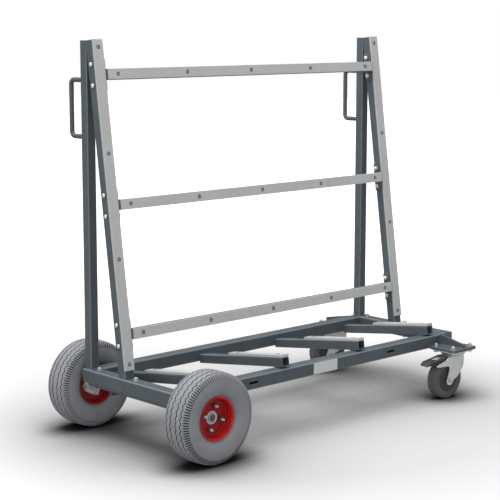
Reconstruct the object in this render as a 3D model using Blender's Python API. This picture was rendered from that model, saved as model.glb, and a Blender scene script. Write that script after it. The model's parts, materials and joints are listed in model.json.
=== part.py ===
"""Slab buggy: a steel frame on two large fixed wheels and two braked swivel castors, with a leaning two-leg
ladder and four support arms that carry a slab on its long edge.

Metres, +Z up. The long side of the frame runs along X and the ladder leans back towards +Y. Lengths along
X are counted from the outer face of the rail at the wheel end, and lengths along Y from the front face of
the front rail. at() moves both so that the origin lies under the middle of the whole buggy, on the ground.
"""

import math

import bmesh
import bpy
from mathutils import Matrix, Vector

# Gaps between pieces
seat_gap = 0.0003
hole_clearance = 0.0004
running_gap = 0.0006
cut_overrun = 0.003
join_overlap = 0.001

# Base frame
frame_length = 1.200
frame_width = 0.412
rail_size = 0.040
rail_wall = 0.0025
rail_corner = 0.0035
rail_top = 0.195
slot_length = 0.035
slot_height = 0.007
slot_from_middle = 0.2975

# Plugs in the open tube ends
cap_flange = 0.002
cap_plug = 0.012

# Posts
post_width = 0.030
post_depth = 0.030
post_wall = 0.002
post_setback = 0.0026
upright_top = 1.149

# Leaning legs, whose square tops stand a little above the posts
leg_width = 0.035
leg_depth = 0.030
leg_wall = 0.002
leg_inset = 0.004
leg_foot_front = 0.2125
leg_above_post = 0.004
tube_corner = 0.0025

# Wear strips on the legs
leg_strip_thickness = 0.004
leg_strip_start = 0.024
strip_edge = 0.0008
leg_screw_spacing = 0.301
leg_screw_from_top = 0.022
leg_screw_count = 4

# Crossbars of the ladder
crossbar_height = 0.030
crossbar_depth = 0.025
crossbar_wall = 0.002
lowest_crossbar_height = 0.320
highest_crossbar_from_top = 0.0942
crossbar_names = ("lower", "middle", "upper")
crossbar_strip_thickness = 0.004
crossbar_strip_height = 0.0305
crossbar_strip_inset = 0.0065
crossbar_screw_from_leg = 0.041
crossbar_screw_count = 5

# End flanges that bolt the crossbars to the legs
flange_thickness = 0.005
flange_length = 0.088
flange_setback = 0.006
flange_depth = 0.0313
flange_bolt_offset = 0.030

# Rod handles
handle_rod = 0.007
handle_low = 0.874
handle_high = 1.0365
handle_reach = 0.0626
handle_bend = 0.014

# Support arms and their pads
arm_size = 0.028
arm_wall = 0.0025
arm_count = 4
first_arm_from_end = 0.108
arm_front_setback = 0.003
pad_thickness = 0.008
pad_length = 0.235
pad_screw_inset = 0.030

# Countersunk screw holes, by the radius of the head, its depth and the radius of the shank
screw_head = 0.0046
screw_head_depth = 0.0026
screw_shank = 0.0022

# Bolt holes, by the radius of the bolt
ladder_bolt = 0.004
rail_bolt = 0.005
rail_bolt_from_back = 0.0545
rail_bolt_spacing = 0.170
rim_bolt = 0.004
mount_bolt = 0.004

# Big wheels
wheel_radius = 0.130
wheel_half_width = 0.0477
wheel_stand_off = 0.0632
axle_from_end = 0.073
crown_half_width = 0.026
shoulder_drop = 0.0065
shoulder_half_width = 0.0405
sidewall_top = 0.110
sidewall_foot = 0.088
bead_half_width = 0.0385
bead_radius = 0.070

# Two-part rim
rim_lip = 0.063
rim_drum = 0.0565
rim_sheet = 0.0025
rim_half_width = 0.0348
disc_from_middle = 0.010
rim_bolt_circle = 0.0335
rim_bolt_turn = 73.5

# Hub, flange and bearing sleeve
hub_radius = 0.019
hub_bore = 0.0153
hub_outer_end = 0.0133
hub_inner_end = 0.040
hub_flange = 0.005
hub_flange_land = 0.0085
journal_clearance = 0.0006

# Axle, its carrier and its retaining rings
journal_radius = 0.010
axle_radius = 0.0115
axle_past_frame = 0.080
axle_chamfer = 0.001
carrier_thickness = 0.006
carrier_from_side = 0.020
carrier_setback = 0.003
carrier_past_axle = 0.017
saddle_thickness = 0.012
saddle_half_width = 0.017
saddle_below_axle = 0.016
saddle_from_side = 0.060
retainer_width = 0.0035
retainer_thickness = 0.0015

# Label plate on the front rail
label_length = 0.102
label_height = 0.034
label_thickness = 0.0005

# Outriggers that carry the castors
outrigger_length = 0.114
outrigger_reach = 0.104
outrigger_thickness = 0.008
outrigger_corner = 0.004
caster_from_end = 0.0596
caster_from_side = 0.0527
gusset_thickness = 0.006
gusset_setback = 0.003
gusset_nose = 0.012

# Castor mounting plate, raceway and kingpin
bolt_pattern_length = 0.084
bolt_pattern_width = 0.070
mount_margin = 0.011
mount_thickness = 0.004
mount_corner = 0.008
raceway_radius = 0.041
raceway_edge = 0.005
raceway_taper = 0.005
kingpin_radius = 0.0065
kingpin_head = 0.011
kingpin_head_height = 0.004
kingpin_edge = 0.0015

# Castor fork
crown_top = 0.1385
crown_thickness = 0.008
crown_radius = 0.036
fork_inner = 0.022
fork_plate = 0.004
fork_reach = 0.098
fork_front_shares = (
    (-0.252, 1.0),
    (-0.251, 0.805),
    (-0.221, 0.711),
    (-0.173, 0.668),
    (-0.097, 0.607),
    (0.010, 0.520),
    (0.122, 0.462),
)
fork_back_shares = ((0.502, 0.480), (0.439, 0.614), (0.403, 0.708), (0.429, 0.758), (0.551, 0.791))
fork_ear_shares = ((0.827, 0.787), (0.980, 0.794), (1.0, 0.830), (0.531, 0.931), (0.510, 1.0))
fork_end_radius = 0.0145
fork_end_drop = 0.004
fork_end_from = 180.0
fork_end_to = 350.0
caster_trail = 0.038
front_caster_turn = 176.0
back_caster_turn = 162.0

# Castor wheel
caster_radius = 0.0625
caster_half_width = 0.018
caster_edge = 0.004
caster_core_radius = 0.048
caster_core_edge = 0.0155
caster_guard_radius = 0.0375
caster_guard_half_width = 0.0172
caster_hub_radius = 0.011
caster_hub_half_width = 0.0205
caster_bolt = 0.005
caster_bolt_corner = 0.0092
caster_bolt_head = 0.0064
caster_nut = 0.008
caster_thread_end = 0.002

# Brake pedal
pedal_hinge_from_swivel = 0.0425
pedal_hinge_height = 0.132
pedal_barrel = 0.0045
pedal_pin = 0.003
pedal_pin_past_fork = 0.0015
pedal_half_width = 0.020
pedal_reach = 0.0935
pedal_drop = 0.022
pedal_thickness = 0.005
pedal_line_shares = ((0.0, 0.0), (0.11, 0.1), (0.41, -0.14), (0.78, -0.34), (0.91, -0.52), (1.0, -0.75))
pedal_window = 0.0085
pedal_window_share = 0.42
pedal_hole = 0.0045
pedal_hole_share = 0.78
pedal_taper_share = 0.72
pedal_tip_half_width = 0.011

# Numbers of sides
corner_points = 2
bolt_sides = 6
screw_sides = 8
rod_sides = 10
bend_steps = 4
axle_sides = 16
wheel_sides = 32
hub_sides = 24
caster_sides = 24
raceway_sides = 20
pin_sides = 8
fork_end_points = 7
smooth_below = 35.0

# Places worked out from the sizes above
rail_bottom = rail_top - rail_size
left_edge = axle_from_end - wheel_radius
middle_x = (left_edge + frame_length) / 2
middle_y = frame_width / 2
upright_x = leg_inset + leg_width / 2
post_back = frame_width - post_setback
post_front = post_back - post_depth
leg_tube_start = leg_strip_thickness + seat_gap
leg_total = leg_tube_start + leg_depth
leg_centre = leg_tube_start + leg_depth / 2
lean_run = post_front - seat_gap - leg_foot_front
lean_rise = upright_top - rail_top
lean = math.acos(leg_total / math.hypot(lean_run, lean_rise)) - math.atan2(lean_rise, lean_run)
leg_length = (upright_top + leg_above_post - rail_top) / math.cos(lean)
crossbar_rise = upright_top - highest_crossbar_from_top - lowest_crossbar_height
crossbar_spacing = crossbar_rise / (len(crossbar_names) - 1)
arm_spacing = (frame_length - 2 * first_arm_from_end) / (arm_count - 1)
crown_bottom = crown_top - crown_thickness
mount_top = rail_bottom - seat_gap
mount_bottom = mount_top - mount_thickness
fork_outer = fork_inner + fork_plate


def at(x, y, z):
    """A point from its distance to the wheel end, to the front face and to the ground."""
    return Vector((x - middle_x, y - middle_y, z))


def clear_scene():
    for old in list(bpy.data.objects):
        bpy.data.objects.remove(old, do_unlink=True)


def make_material(name, colour, roughness, metallic):
    material = bpy.data.materials.new(name)
    material.use_nodes = True
    shader = material.node_tree.nodes["Principled BSDF"]
    shader.inputs["Base Color"].default_value = (*colour, 1.0)
    shader.inputs["Roughness"].default_value = roughness
    shader.inputs["Metallic"].default_value = metallic
    return material


def make_object(name, shape, material, place=None, parent=None):
    """An object from a bmesh, with its faces turned outwards and smooth across shallow angles."""
    bmesh.ops.recalc_face_normals(shape, faces=shape.faces)
    mesh = bpy.data.meshes.new(name)
    shape.to_mesh(mesh)
    shape.free()
    mesh.materials.append(material)
    mesh.shade_smooth()
    mesh.set_sharp_from_angle(angle=math.radians(smooth_below))
    made = bpy.data.objects.new(name, mesh)
    bpy.context.scene.collection.objects.link(made)
    made.parent = parent
    if place is not None:
        made.location = place.to_translation()
        made.rotation_euler = place.to_euler()
    return made


def make_empty(name, location, rotation=(0.0, 0.0, 0.0), parent=None):
    empty = bpy.data.objects.new(name, None)
    bpy.context.scene.collection.objects.link(empty)
    empty.parent = parent
    empty.location = location
    empty.rotation_euler = rotation
    return empty


def combine(target, shape, operation="DIFFERENCE"):
    """Cuts a shape, given in the target's own space, from the target, or joins it on."""
    bmesh.ops.recalc_face_normals(shape, faces=shape.faces)
    mesh = bpy.data.meshes.new(target.name + "_tool")
    shape.to_mesh(mesh)
    shape.free()
    tool = bpy.data.objects.new(target.name + "_tool", mesh)
    bpy.context.scene.collection.objects.link(tool)
    tool.parent = target.parent
    tool.location = target.location
    tool.rotation_euler = target.rotation_euler
    tool.hide_render = True
    tool.display_type = "WIRE"
    modifier = target.modifiers.new(operation.capitalize(), "BOOLEAN")
    modifier.operation = operation
    modifier.solver = "EXACT"
    modifier.object = tool


def loft(shape, rings, closed=False, frame=None):
    """Skins rings of points in turn. Closed joins the last ring to the first, or both ends are capped."""
    made = []
    for ring in rings:
        made.append([shape.verts.new(frame @ point if frame else point) for point in ring])
    pairs = list(zip(made, made[1:]))
    if closed:
        pairs.append((made[-1], made[0]))
    else:
        shape.faces.new(made[0])
        shape.faces.new(made[-1])
    for low, high in pairs:
        for index in range(len(low)):
            after = (index + 1) % len(low)
            shape.faces.new((low[index], low[after], high[after], high[index]))


def circle(centre, direction, radius, sides, turn=0.0):
    """A ring of points round a centre, square to a direction."""
    along = Vector(direction).normalized()
    start = Vector((0.0, 1.0, 0.0)) if abs(along.x) > 0.5 else Vector((1.0, 0.0, 0.0))
    first = (start - along * start.dot(along)).normalized()
    second = along.cross(first)
    points = []
    for index in range(sides):
        angle = turn + 2 * math.pi * index / sides
        points.append(Vector(centre) + (first * math.cos(angle) + second * math.sin(angle)) * radius)
    return points


def turned(shape, profile, sides, closed=True, turn=0.0, fit=1.0, direction=(0.0, 0.0, 1.0)):
    """Turns a profile of radius and height pairs round an axis through the origin."""
    axis = Vector(direction)
    rings = [circle(axis * height, axis, radius * fit, sides, turn) for radius, height in profile]
    loft(shape, rings, closed=closed)


def rod(shape, start, end, radius, sides):
    along = Vector(end) - Vector(start)
    loft(shape, [circle(start, along, radius, sides), circle(end, along, radius, sides)])


def rounded(width, height, corner, centre=(0.0, 0.0)):
    """Outline of a rectangle with rounded corners, as pairs."""
    outline = []
    for quarter in range(4):
        sign_x = 1 if quarter in (0, 3) else -1
        sign_y = 1 if quarter in (0, 1) else -1
        for step in range(corner_points):
            angle = math.pi / 2 * (quarter + step / (corner_points - 1))
            x = centre[0] + sign_x * (width / 2 - corner) + corner * math.cos(angle)
            y = centre[1] + sign_y * (height / 2 - corner) + corner * math.sin(angle)
            outline.append((x, y))
    return outline


def stretched(outline, axis, end):
    """Points of an outline at one end of a prism. The end is a place along the axis, or a function of the
    outline's pair that gives one."""
    points = []
    for first, second in outline:
        along = end(first, second) if callable(end) else end
        if axis == "X":
            points.append(Vector((along, first, second)))
        elif axis == "Y":
            points.append(Vector((first, along, second)))
        else:
            points.append(Vector((first, second, along)))
    return points


def prism(shape, outline, axis, low, high, frame=None):
    loft(shape, [stretched(outline, axis, low), stretched(outline, axis, high)], frame=frame)


def box(shape, low, high):
    """A plain block between two corners."""
    outline = ((low[0], low[1]), (high[0], low[1]), (high[0], high[1]), (low[0], high[1]))
    prism(shape, outline, "Z", low[2], high[2])


def tube(shape, outer, inner, axis, low, high):
    """A hollow prism, open at both ends."""
    rings = [
        stretched(outer, axis, low),
        stretched(outer, axis, high),
        stretched(inner, axis, high),
        stretched(inner, axis, low),
    ]
    loft(shape, rings, closed=True)


def plug(shape, outer, inner, way):
    """A tube plug along Y whose origin is the tube's end. Way is 1 or -1, the way out of the tube."""
    rings = [
        stretched(inner, "Y", -way * cap_plug),
        stretched(inner, "Y", way * seat_gap),
        stretched(outer, "Y", way * seat_gap),
        stretched(outer, "Y", way * (seat_gap + cap_flange)),
    ]
    loft(shape, rings)


def shrunk(width, height, wall, corner, centre=(0.0, 0.0), gap=0.0):
    """Outline of the bore of a tube, or of a plug that fits it with a gap."""
    inset = 2 * (wall + gap)
    return rounded(width - inset, height - inset, corner, centre)


def bolt_with_nut(shape, start, direction, grip, radius, corner, head, nut, thread):
    """A hexagon bolt and its nut as one body, with the head behind the start and the nut past the grip."""
    along = Vector(direction)
    under_head = Vector(start) - along * seat_gap
    under_nut = Vector(start) + along * (grip + seat_gap)
    rings = [
        circle(under_head - along * head, along, corner, bolt_sides),
        circle(under_head, along, corner, bolt_sides),
        circle(under_head, along, radius, bolt_sides),
        circle(under_nut, along, radius, bolt_sides),
        circle(under_nut, along, corner, bolt_sides),
        circle(under_nut + along * nut, along, corner, bolt_sides),
        circle(under_nut + along * nut, along, radius, bolt_sides),
        circle(under_nut + along * (nut + thread), along, radius, bolt_sides),
    ]
    loft(shape, rings)


def bolt_hole(shape, start, direction, grip, radius):
    along = Vector(direction)
    low = Vector(start) - along * cut_overrun
    high = Vector(start) + along * (grip + cut_overrun)
    rod(shape, low, high, radius + hole_clearance, bolt_sides)


def screw_hole(shape, point, direction, depth):
    """A countersunk hole from the surface at the point to a depth."""
    along = Vector(direction)
    head = screw_head + hole_clearance
    shank = screw_shank + hole_clearance
    rings = [
        circle(Vector(point) - along * cut_overrun, along, head, screw_sides),
        circle(point, along, head, screw_sides),
        circle(Vector(point) + along * screw_head_depth, along, shank, screw_sides),
        circle(Vector(point) + along * depth, along, shank, screw_sides),
    ]
    loft(shape, rings)


def mirrored_x(x):
    """The place along X on the other half of the frame."""
    return frame_length - x


def mirrored_y(y):
    """The place along Y on the other half of the frame."""
    return frame_width - y


def leaning(x):
    """Frame of a leaning leg: X across it, Y square to it and away from the slab, Z up along it. Its origin
    lies on the slab side of the wear strip, level with the top of the rails."""
    return Matrix.Translation(at(x, leg_foot_front, rail_top)) @ Matrix.Rotation(-lean, 4, "X")


def level_cut(height):
    """Place along a leaning leg, for a point of its section, where it reaches a height above the rails."""
    return lambda across, deep: (height + deep * math.sin(lean)) / math.cos(lean)


clear_scene()

painted = make_material("dark_grey_paint", (0.071, 0.084, 0.088), 0.5, 0.0)
strip_plastic = make_material("light_grey_plastic", (0.43, 0.435, 0.435), 0.55, 0.0)
zinc = make_material("zinc_plated_steel", (0.42, 0.42, 0.41), 0.35, 0.9)
tyre_rubber = make_material("tyre_rubber", (0.06, 0.063, 0.07), 0.8, 0.0)
rim_paint = make_material("red_rim_paint", (0.42, 0.012, 0.01), 0.4, 0.0)
caster_rubber = make_material("castor_rubber", (0.045, 0.043, 0.045), 0.75, 0.0)
caster_plastic = make_material("castor_core_plastic", (0.055, 0.056, 0.055), 0.6, 0.0)
pedal_steel = make_material("brake_pedal_paint", (0.058, 0.066, 0.06), 0.55, 0.0)
cap_plastic = make_material("grey_cap_plastic", (0.13, 0.13, 0.13), 0.6, 0.0)
label_film = make_material("plain_label_film", (0.5, 0.5, 0.49), 0.5, 0.0)

# Base rails
rail_outer = rounded(rail_size, rail_size, rail_corner)
rail_inner = shrunk(rail_size, rail_size, rail_wall, rail_corner - rail_wall)
end_rail_half = frame_width / 2 - cap_flange - seat_gap
long_rail_half = frame_length / 2 - rail_size - seat_gap
rail_centre_z = rail_top - rail_size / 2
rail_bolt_places = (frame_width - rail_bolt_from_back - rail_bolt_spacing, frame_width - rail_bolt_from_back)


def make_long_rail(name, y, outward):
    """A rail along X, slotted near both ends of its outer face. Outward is -1 in front and 1 at the back."""
    shape = bmesh.new()
    tube(shape, rail_outer, rail_inner, "X", -long_rail_half, long_rail_half)
    rail = make_object(name, shape, painted, Matrix.Translation(at(frame_length / 2, y, rail_centre_z)))
    cutter = bmesh.new()
    for side in (-1, 1):
        x = side * slot_from_middle
        outline = ((x - slot_length / 2, -slot_height / 2), (x + slot_length / 2, -slot_height / 2))
        outline += ((x + slot_length / 2, slot_height / 2), (x - slot_length / 2, slot_height / 2))
        inside = outward * (rail_size / 2 - rail_wall - cut_overrun)
        outside = outward * (rail_size / 2 + cut_overrun)
        prism(cutter, outline, "Y", inside, outside)
    combine(rail, cutter)


def make_end_rail(name, x):
    shape = bmesh.new()
    tube(shape, rail_outer, rail_inner, "Y", -end_rail_half, end_rail_half)
    rail = make_object(name, shape, painted, Matrix.Translation(at(x, middle_y, rail_centre_z)))
    cutter = bmesh.new()
    for y in rail_bolt_places:
        bolt_hole(cutter, (0.0, y - middle_y, -rail_size / 2), (0.0, 0.0, 1.0), rail_size, rail_bolt)
    combine(rail, cutter)


make_long_rail("front_rail", rail_size / 2, -1)
make_long_rail("back_rail", mirrored_y(rail_size / 2), 1)
make_end_rail("wheel_end_rail", rail_size / 2)
make_end_rail("caster_end_rail", mirrored_x(rail_size / 2))

# Posts, and the frames of the two leaning legs
post_outer = rounded(post_width, post_depth, tube_corner)
post_inner = shrunk(post_width, post_depth, post_wall, tube_corner - post_wall)
post_y = (post_front + post_back) / 2
leg_frames = {"left": leaning(upright_x), "right": leaning(mirrored_x(upright_x))}
post_frames = {
    "left": Matrix.Translation(at(upright_x, post_y, 0.0)),
    "right": Matrix.Translation(at(mirrored_x(upright_x), post_y, 0.0)),
}

for side, place in post_frames.items():
    post_shape = bmesh.new()
    tube(post_shape, post_outer, post_inner, "Z", rail_top + seat_gap, upright_top)
    make_object(side + "_post", post_shape, painted, place)

# Legs with the holes for their strips' screws and for the ladder's bolts
leg_outer = rounded(leg_width, leg_depth, tube_corner, (0.0, leg_centre))
leg_inner = shrunk(leg_width, leg_depth, leg_wall, tube_corner - leg_wall, (0.0, leg_centre))
leg_screw_places = [
    leg_length - leg_screw_from_top - leg_screw_spacing * index for index in range(leg_screw_count)
]
crossbar_places = {}
for index, name in enumerate(crossbar_names):
    height = lowest_crossbar_height + index * crossbar_spacing
    crossbar_places[name] = (height - rail_top) / math.cos(lean)
ladder_bolt_places = []
for along_leg in crossbar_places.values():
    ladder_bolt_places += [along_leg - flange_bolt_offset, along_leg + flange_bolt_offset]

for side, place in leg_frames.items():
    leg_shape = bmesh.new()
    tube(leg_shape, leg_outer, leg_inner, "Z", level_cut(seat_gap), leg_length)
    leg = make_object(side + "_leg", leg_shape, painted, place)
    cutter_shape = bmesh.new()
    for along_leg in ladder_bolt_places:
        start = (-leg_width / 2, leg_centre, along_leg)
        bolt_hole(cutter_shape, start, (1.0, 0.0, 0.0), leg_width, ladder_bolt)
    for along_leg in leg_screw_places:
        wall_front = Vector((0.0, leg_tube_start - seat_gap, along_leg))
        wall_back = Vector((0.0, leg_tube_start + leg_wall + cut_overrun, along_leg))
        rod(cutter_shape, wall_front, wall_back, screw_shank + hole_clearance, screw_sides)
    combine(leg, cutter_shape)

# Wear strips of the legs
half_strip = leg_width / 2
leg_strip_outline = (
    (-half_strip, leg_strip_thickness),
    (-half_strip, strip_edge),
    (-half_strip + strip_edge, 0.0),
    (half_strip - strip_edge, 0.0),
    (half_strip, strip_edge),
    (half_strip, leg_strip_thickness),
)
for side, place in leg_frames.items():
    strip_shape = bmesh.new()
    prism(strip_shape, leg_strip_outline, "Z", level_cut(leg_strip_start), leg_length)
    strip = make_object(side + "_leg_strip", strip_shape, strip_plastic, place)
    cutter_shape = bmesh.new()
    for along_leg in leg_screw_places:
        screw_hole(cutter_shape, (0.0, 0.0, along_leg), (0.0, 1.0, 0.0), leg_strip_thickness + cut_overrun)
    combine(strip, cutter_shape)

# Crossbars with welded end flanges, and their strips. Their frame has its origin midway between the legs.
# The flange's ears stand back from the bar's face
ladder_frame = leaning(frame_length / 2)
inner_half = frame_length / 2 - leg_inset - leg_width
flange_far = inner_half - seat_gap
flange_near = flange_far - flange_thickness
crossbar_half = flange_near + join_overlap
strip_half = inner_half - crossbar_strip_inset
first_bar_screw = inner_half - crossbar_screw_from_leg
bar_screw_step = 2 * first_bar_screw / (crossbar_screw_count - 1)
bar_screw_places = [-first_bar_screw + bar_screw_step * index for index in range(crossbar_screw_count)]
bar_centre = (seat_gap + crossbar_depth / 2, 0.0)
bar_outer = rounded(crossbar_depth, crossbar_height, tube_corner, bar_centre)
bar_inner = shrunk(crossbar_depth, crossbar_height, crossbar_wall, tube_corner - crossbar_wall, bar_centre)
half_bar = crossbar_height / 2
half_flange = flange_length / 2
flange_outline = (
    (seat_gap, -half_bar),
    (flange_setback, -half_bar),
    (flange_setback, -half_flange),
    (flange_depth, -half_flange),
    (flange_depth, half_flange),
    (flange_setback, half_flange),
    (flange_setback, half_bar),
    (seat_gap, half_bar),
)
half_bar_strip = crossbar_strip_height / 2
bar_strip_outline = (
    (0.0, -half_bar_strip),
    (0.0, half_bar_strip),
    (strip_edge - crossbar_strip_thickness, half_bar_strip),
    (-crossbar_strip_thickness, half_bar_strip - strip_edge),
    (-crossbar_strip_thickness, strip_edge - half_bar_strip),
    (strip_edge - crossbar_strip_thickness, -half_bar_strip),
)

for name, along_leg in crossbar_places.items():
    bar_frame = ladder_frame @ Matrix.Translation((0.0, 0.0, along_leg))
    bar_shape = bmesh.new()
    tube(bar_shape, bar_outer, bar_inner, "X", -crossbar_half, crossbar_half)
    bar = make_object(name + "_crossbar", bar_shape, painted, bar_frame)
    flange_shape = bmesh.new()
    for way in (-1, 1):
        prism(flange_shape, flange_outline, "X", way * flange_near, way * flange_far)
    combine(bar, flange_shape, "UNION")
    cutter_shape = bmesh.new()
    for z in (-flange_bolt_offset, flange_bolt_offset):
        for way in (-1, 1):
            start = (way * flange_near, leg_centre, z)
            bolt_hole(cutter_shape, start, (way, 0.0, 0.0), flange_thickness, ladder_bolt)
    for x in bar_screw_places:
        wall_back = Vector((x, seat_gap + crossbar_wall + cut_overrun, 0.0))
        rod(cutter_shape, Vector((x, 0.0, 0.0)), wall_back, screw_shank + hole_clearance, screw_sides)
    combine(bar, cutter_shape)
    strip_shape = bmesh.new()
    prism(strip_shape, bar_strip_outline, "X", -strip_half, strip_half)
    strip = make_object(name + "_crossbar_strip", strip_shape, strip_plastic, bar_frame)
    cutter_shape = bmesh.new()
    for x in bar_screw_places:
        point = (x, -crossbar_strip_thickness, 0.0)
        screw_hole(cutter_shape, point, (0.0, 1.0, 0.0), crossbar_strip_thickness + cut_overrun)
    combine(strip, cutter_shape)

# Plugs in the ends of the end rails
rail_plug = shrunk(rail_size, rail_size, rail_wall, rail_corner - rail_wall, gap=seat_gap)
for end_name, x in (("wheel_end", rail_size / 2), ("caster_end", mirrored_x(rail_size / 2))):
    for face_name, way in (("front", -1), ("back", 1)):
        cap_shape = bmesh.new()
        plug(cap_shape, rail_outer, rail_plug, way)
        place = Matrix.Translation(at(x, middle_y + way * end_rail_half, rail_centre_z))
        make_object(end_name + "_" + face_name + "_cap", cap_shape, cap_plastic, place)


def make_handle(name, x):
    """A round rod bent twice, with both ends on the back of a post."""
    start = post_back + seat_gap
    out = post_back + handle_reach
    path = [(start, handle_low)]
    for centre_z, first_angle in ((handle_low + handle_bend, -90), (handle_high - handle_bend, 0)):
        for step in range(bend_steps + 1):
            angle = math.radians(first_angle + 90 * step / bend_steps)
            y = out - handle_bend + handle_bend * math.cos(angle)
            path.append((y, centre_z + handle_bend * math.sin(angle)))
    path.append((start, handle_high))
    points = [Vector((0.0, y, z)) for y, z in path]
    rings = []
    for index, point in enumerate(points):
        before = points[max(index - 1, 0)]
        after = points[min(index + 1, len(points) - 1)]
        rings.append(circle(point, after - before, handle_rod, rod_sides))
    rings[0] = circle(points[0], (0.0, 1.0, 0.0), handle_rod, rod_sides)
    rings[-1] = circle(points[-1], (0.0, -1.0, 0.0), handle_rod, rod_sides)
    shape = bmesh.new()
    loft(shape, rings)
    make_object(name, shape, painted, Matrix.Translation(at(x, 0.0, 0.0)))


make_handle("left_handle", upright_x)
make_handle("right_handle", mirrored_x(upright_x))

# Support arms: square to the legs, on the back edge of the front rail, with their back ends on the other
arm_outer = rounded(arm_size, arm_size, tube_corner, (0.0, arm_size / 2))
arm_inner = shrunk(arm_size, arm_size, arm_wall, tube_corner / 2, (0.0, arm_size / 2))
arm_front = -(rail_size - arm_front_setback) / math.cos(lean)
arm_back_y = frame_width - 2 * rail_size - seat_gap


def arm_mouth(across, high):
    """Place along an arm, for a point of its section, where it meets the back rail."""
    return (arm_back_y - high * math.sin(lean)) / math.cos(lean)


def arm_frame(index):
    """Frame of an arm: Y runs back along it, Z is square to it, and its origin rests on the front rail."""
    x = first_arm_from_end + index * arm_spacing
    place = at(x, rail_size, rail_top + seat_gap)
    return Matrix.Translation(place) @ Matrix.Rotation(-lean, 4, "X")


pad_low = arm_size + seat_gap
pad_high = pad_low + pad_thickness
pad_back = arm_front + pad_length
pad_screw_places = (arm_front + pad_screw_inset, pad_back - pad_screw_inset)
half_pad = arm_size / 2
pad_outline = (
    (-half_pad, pad_low),
    (half_pad, pad_low),
    (half_pad, pad_high - strip_edge),
    (half_pad - strip_edge, pad_high),
    (strip_edge - half_pad, pad_high),
    (-half_pad, pad_high - strip_edge),
)
for index in range(arm_count):
    place = arm_frame(index)
    arm_shape = bmesh.new()
    tube(arm_shape, arm_outer, arm_inner, "Y", arm_front, arm_mouth)
    arm = make_object("support_arm_" + str(index + 1), arm_shape, painted, place)
    cutter_shape = bmesh.new()
    for y in pad_screw_places:
        below = Vector((0.0, y, arm_size - arm_wall - cut_overrun))
        above = Vector((0.0, y, arm_size + cut_overrun))
        rod(cutter_shape, below, above, screw_shank + hole_clearance, screw_sides)
    combine(arm, cutter_shape)
    pad_shape = bmesh.new()
    prism(pad_shape, pad_outline, "Y", arm_front, pad_back)
    pad = make_object("arm_pad_" + str(index + 1), pad_shape, strip_plastic, place)
    cutter_shape = bmesh.new()
    for y in pad_screw_places:
        screw_hole(cutter_shape, (0.0, y, pad_high), (0.0, 0.0, -1.0), pad_thickness + cut_overrun)
    combine(pad, cutter_shape)

# Plain label plate on the front rail
label_shape = bmesh.new()
label_low = (-label_length / 2, -seat_gap - label_thickness, rail_centre_z - label_height / 2)
label_high = (label_length / 2, -seat_gap, rail_centre_z + label_height / 2)
box(label_shape, label_low, label_high)
make_object("label_plate", label_shape, label_film, Matrix.Translation(at(frame_length / 2, 0.0, 0.0)))

# Axle carrier: a plate under the wheel end with two bored saddles
axle_drop = rail_bottom - wheel_radius
carrier_place = at(axle_from_end, middle_y, wheel_radius)
carrier_low = axle_drop - seat_gap - carrier_thickness
carrier_shape = bmesh.new()
carrier_outline = rounded(
    carrier_past_axle + axle_from_end - carrier_setback,
    frame_width - 2 * carrier_from_side,
    outrigger_corner,
    ((carrier_past_axle - axle_from_end + carrier_setback) / 2, 0.0),
)
prism(carrier_shape, carrier_outline, "Z", carrier_low, axle_drop - seat_gap)
carrier = make_object("axle_carrier", carrier_shape, painted, Matrix.Translation(carrier_place))
saddles_shape = bmesh.new()
for way in (-1, 1):
    y = way * (frame_width / 2 - saddle_from_side)
    low = (-saddle_half_width, y - saddle_thickness / 2, -saddle_below_axle)
    high = (saddle_half_width, y + saddle_thickness / 2, carrier_low + join_overlap)
    box(saddles_shape, low, high)
combine(carrier, saddles_shape, "UNION")
cutter_shape = bmesh.new()
for way in (-1, 1):
    y = way * (frame_width / 2 - saddle_from_side)
    start = Vector((0.0, y - saddle_thickness, 0.0))
    end = Vector((0.0, y + saddle_thickness, 0.0))
    rod(cutter_shape, start, end, axle_radius + hole_clearance, axle_sides)
for y in rail_bolt_places:
    start = (rail_size / 2 - axle_from_end, y - middle_y, carrier_low)
    bolt_hole(cutter_shape, start, (0.0, 0.0, 1.0), carrier_thickness, rail_bolt)
combine(carrier, cutter_shape)

# Axle with a shoulder for each hub, and the rings that keep the wheels on
hub_from_middle = frame_width / 2 + wheel_stand_off
shoulder = hub_from_middle - hub_inner_end - running_gap
axle_half = frame_width / 2 + axle_past_frame
axle_profile = (
    (journal_radius - axle_chamfer, -axle_half),
    (journal_radius, axle_chamfer - axle_half),
    (journal_radius, -shoulder),
    (axle_radius, -shoulder),
    (axle_radius, shoulder),
    (journal_radius, shoulder),
    (journal_radius, axle_half - axle_chamfer),
    (journal_radius - axle_chamfer, axle_half),
)
axle_shape = bmesh.new()
turned(axle_shape, axle_profile, axle_sides, closed=False, direction=(0.0, 1.0, 0.0))
make_object("axle", axle_shape, painted, Matrix.Translation(carrier_place))
ring_bore = journal_radius + seat_gap
for ring_name, way in (("front_axle_ring", -1), ("back_axle_ring", 1)):
    near = way * (hub_from_middle + hub_outer_end + running_gap)
    far = near + way * retainer_thickness
    profile = (
        (ring_bore, near),
        (ring_bore + retainer_width, near),
        (ring_bore + retainer_width, far),
        (ring_bore, far),
    )
    ring_shape = bmesh.new()
    turned(ring_shape, profile, axle_sides, direction=(0.0, 1.0, 0.0))
    make_object(ring_name, ring_shape, zinc, Matrix.Translation(carrier_place))

# Big wheels. In a wheel's own frame Z points out from the buggy and the origin is the wheel's centre
wheel_fit = 1 / math.cos(math.pi / wheel_sides)
half_turn = math.pi / wheel_sides
disc_far = disc_from_middle + rim_sheet
drum_outside = rim_drum + rim_sheet
tyre_bore = drum_outside + seat_gap
tyre_seat = rim_half_width - rim_sheet - seat_gap
hub_flange_near = -disc_far - seat_gap
hub_flange_far = hub_flange_near - hub_flange


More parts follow.
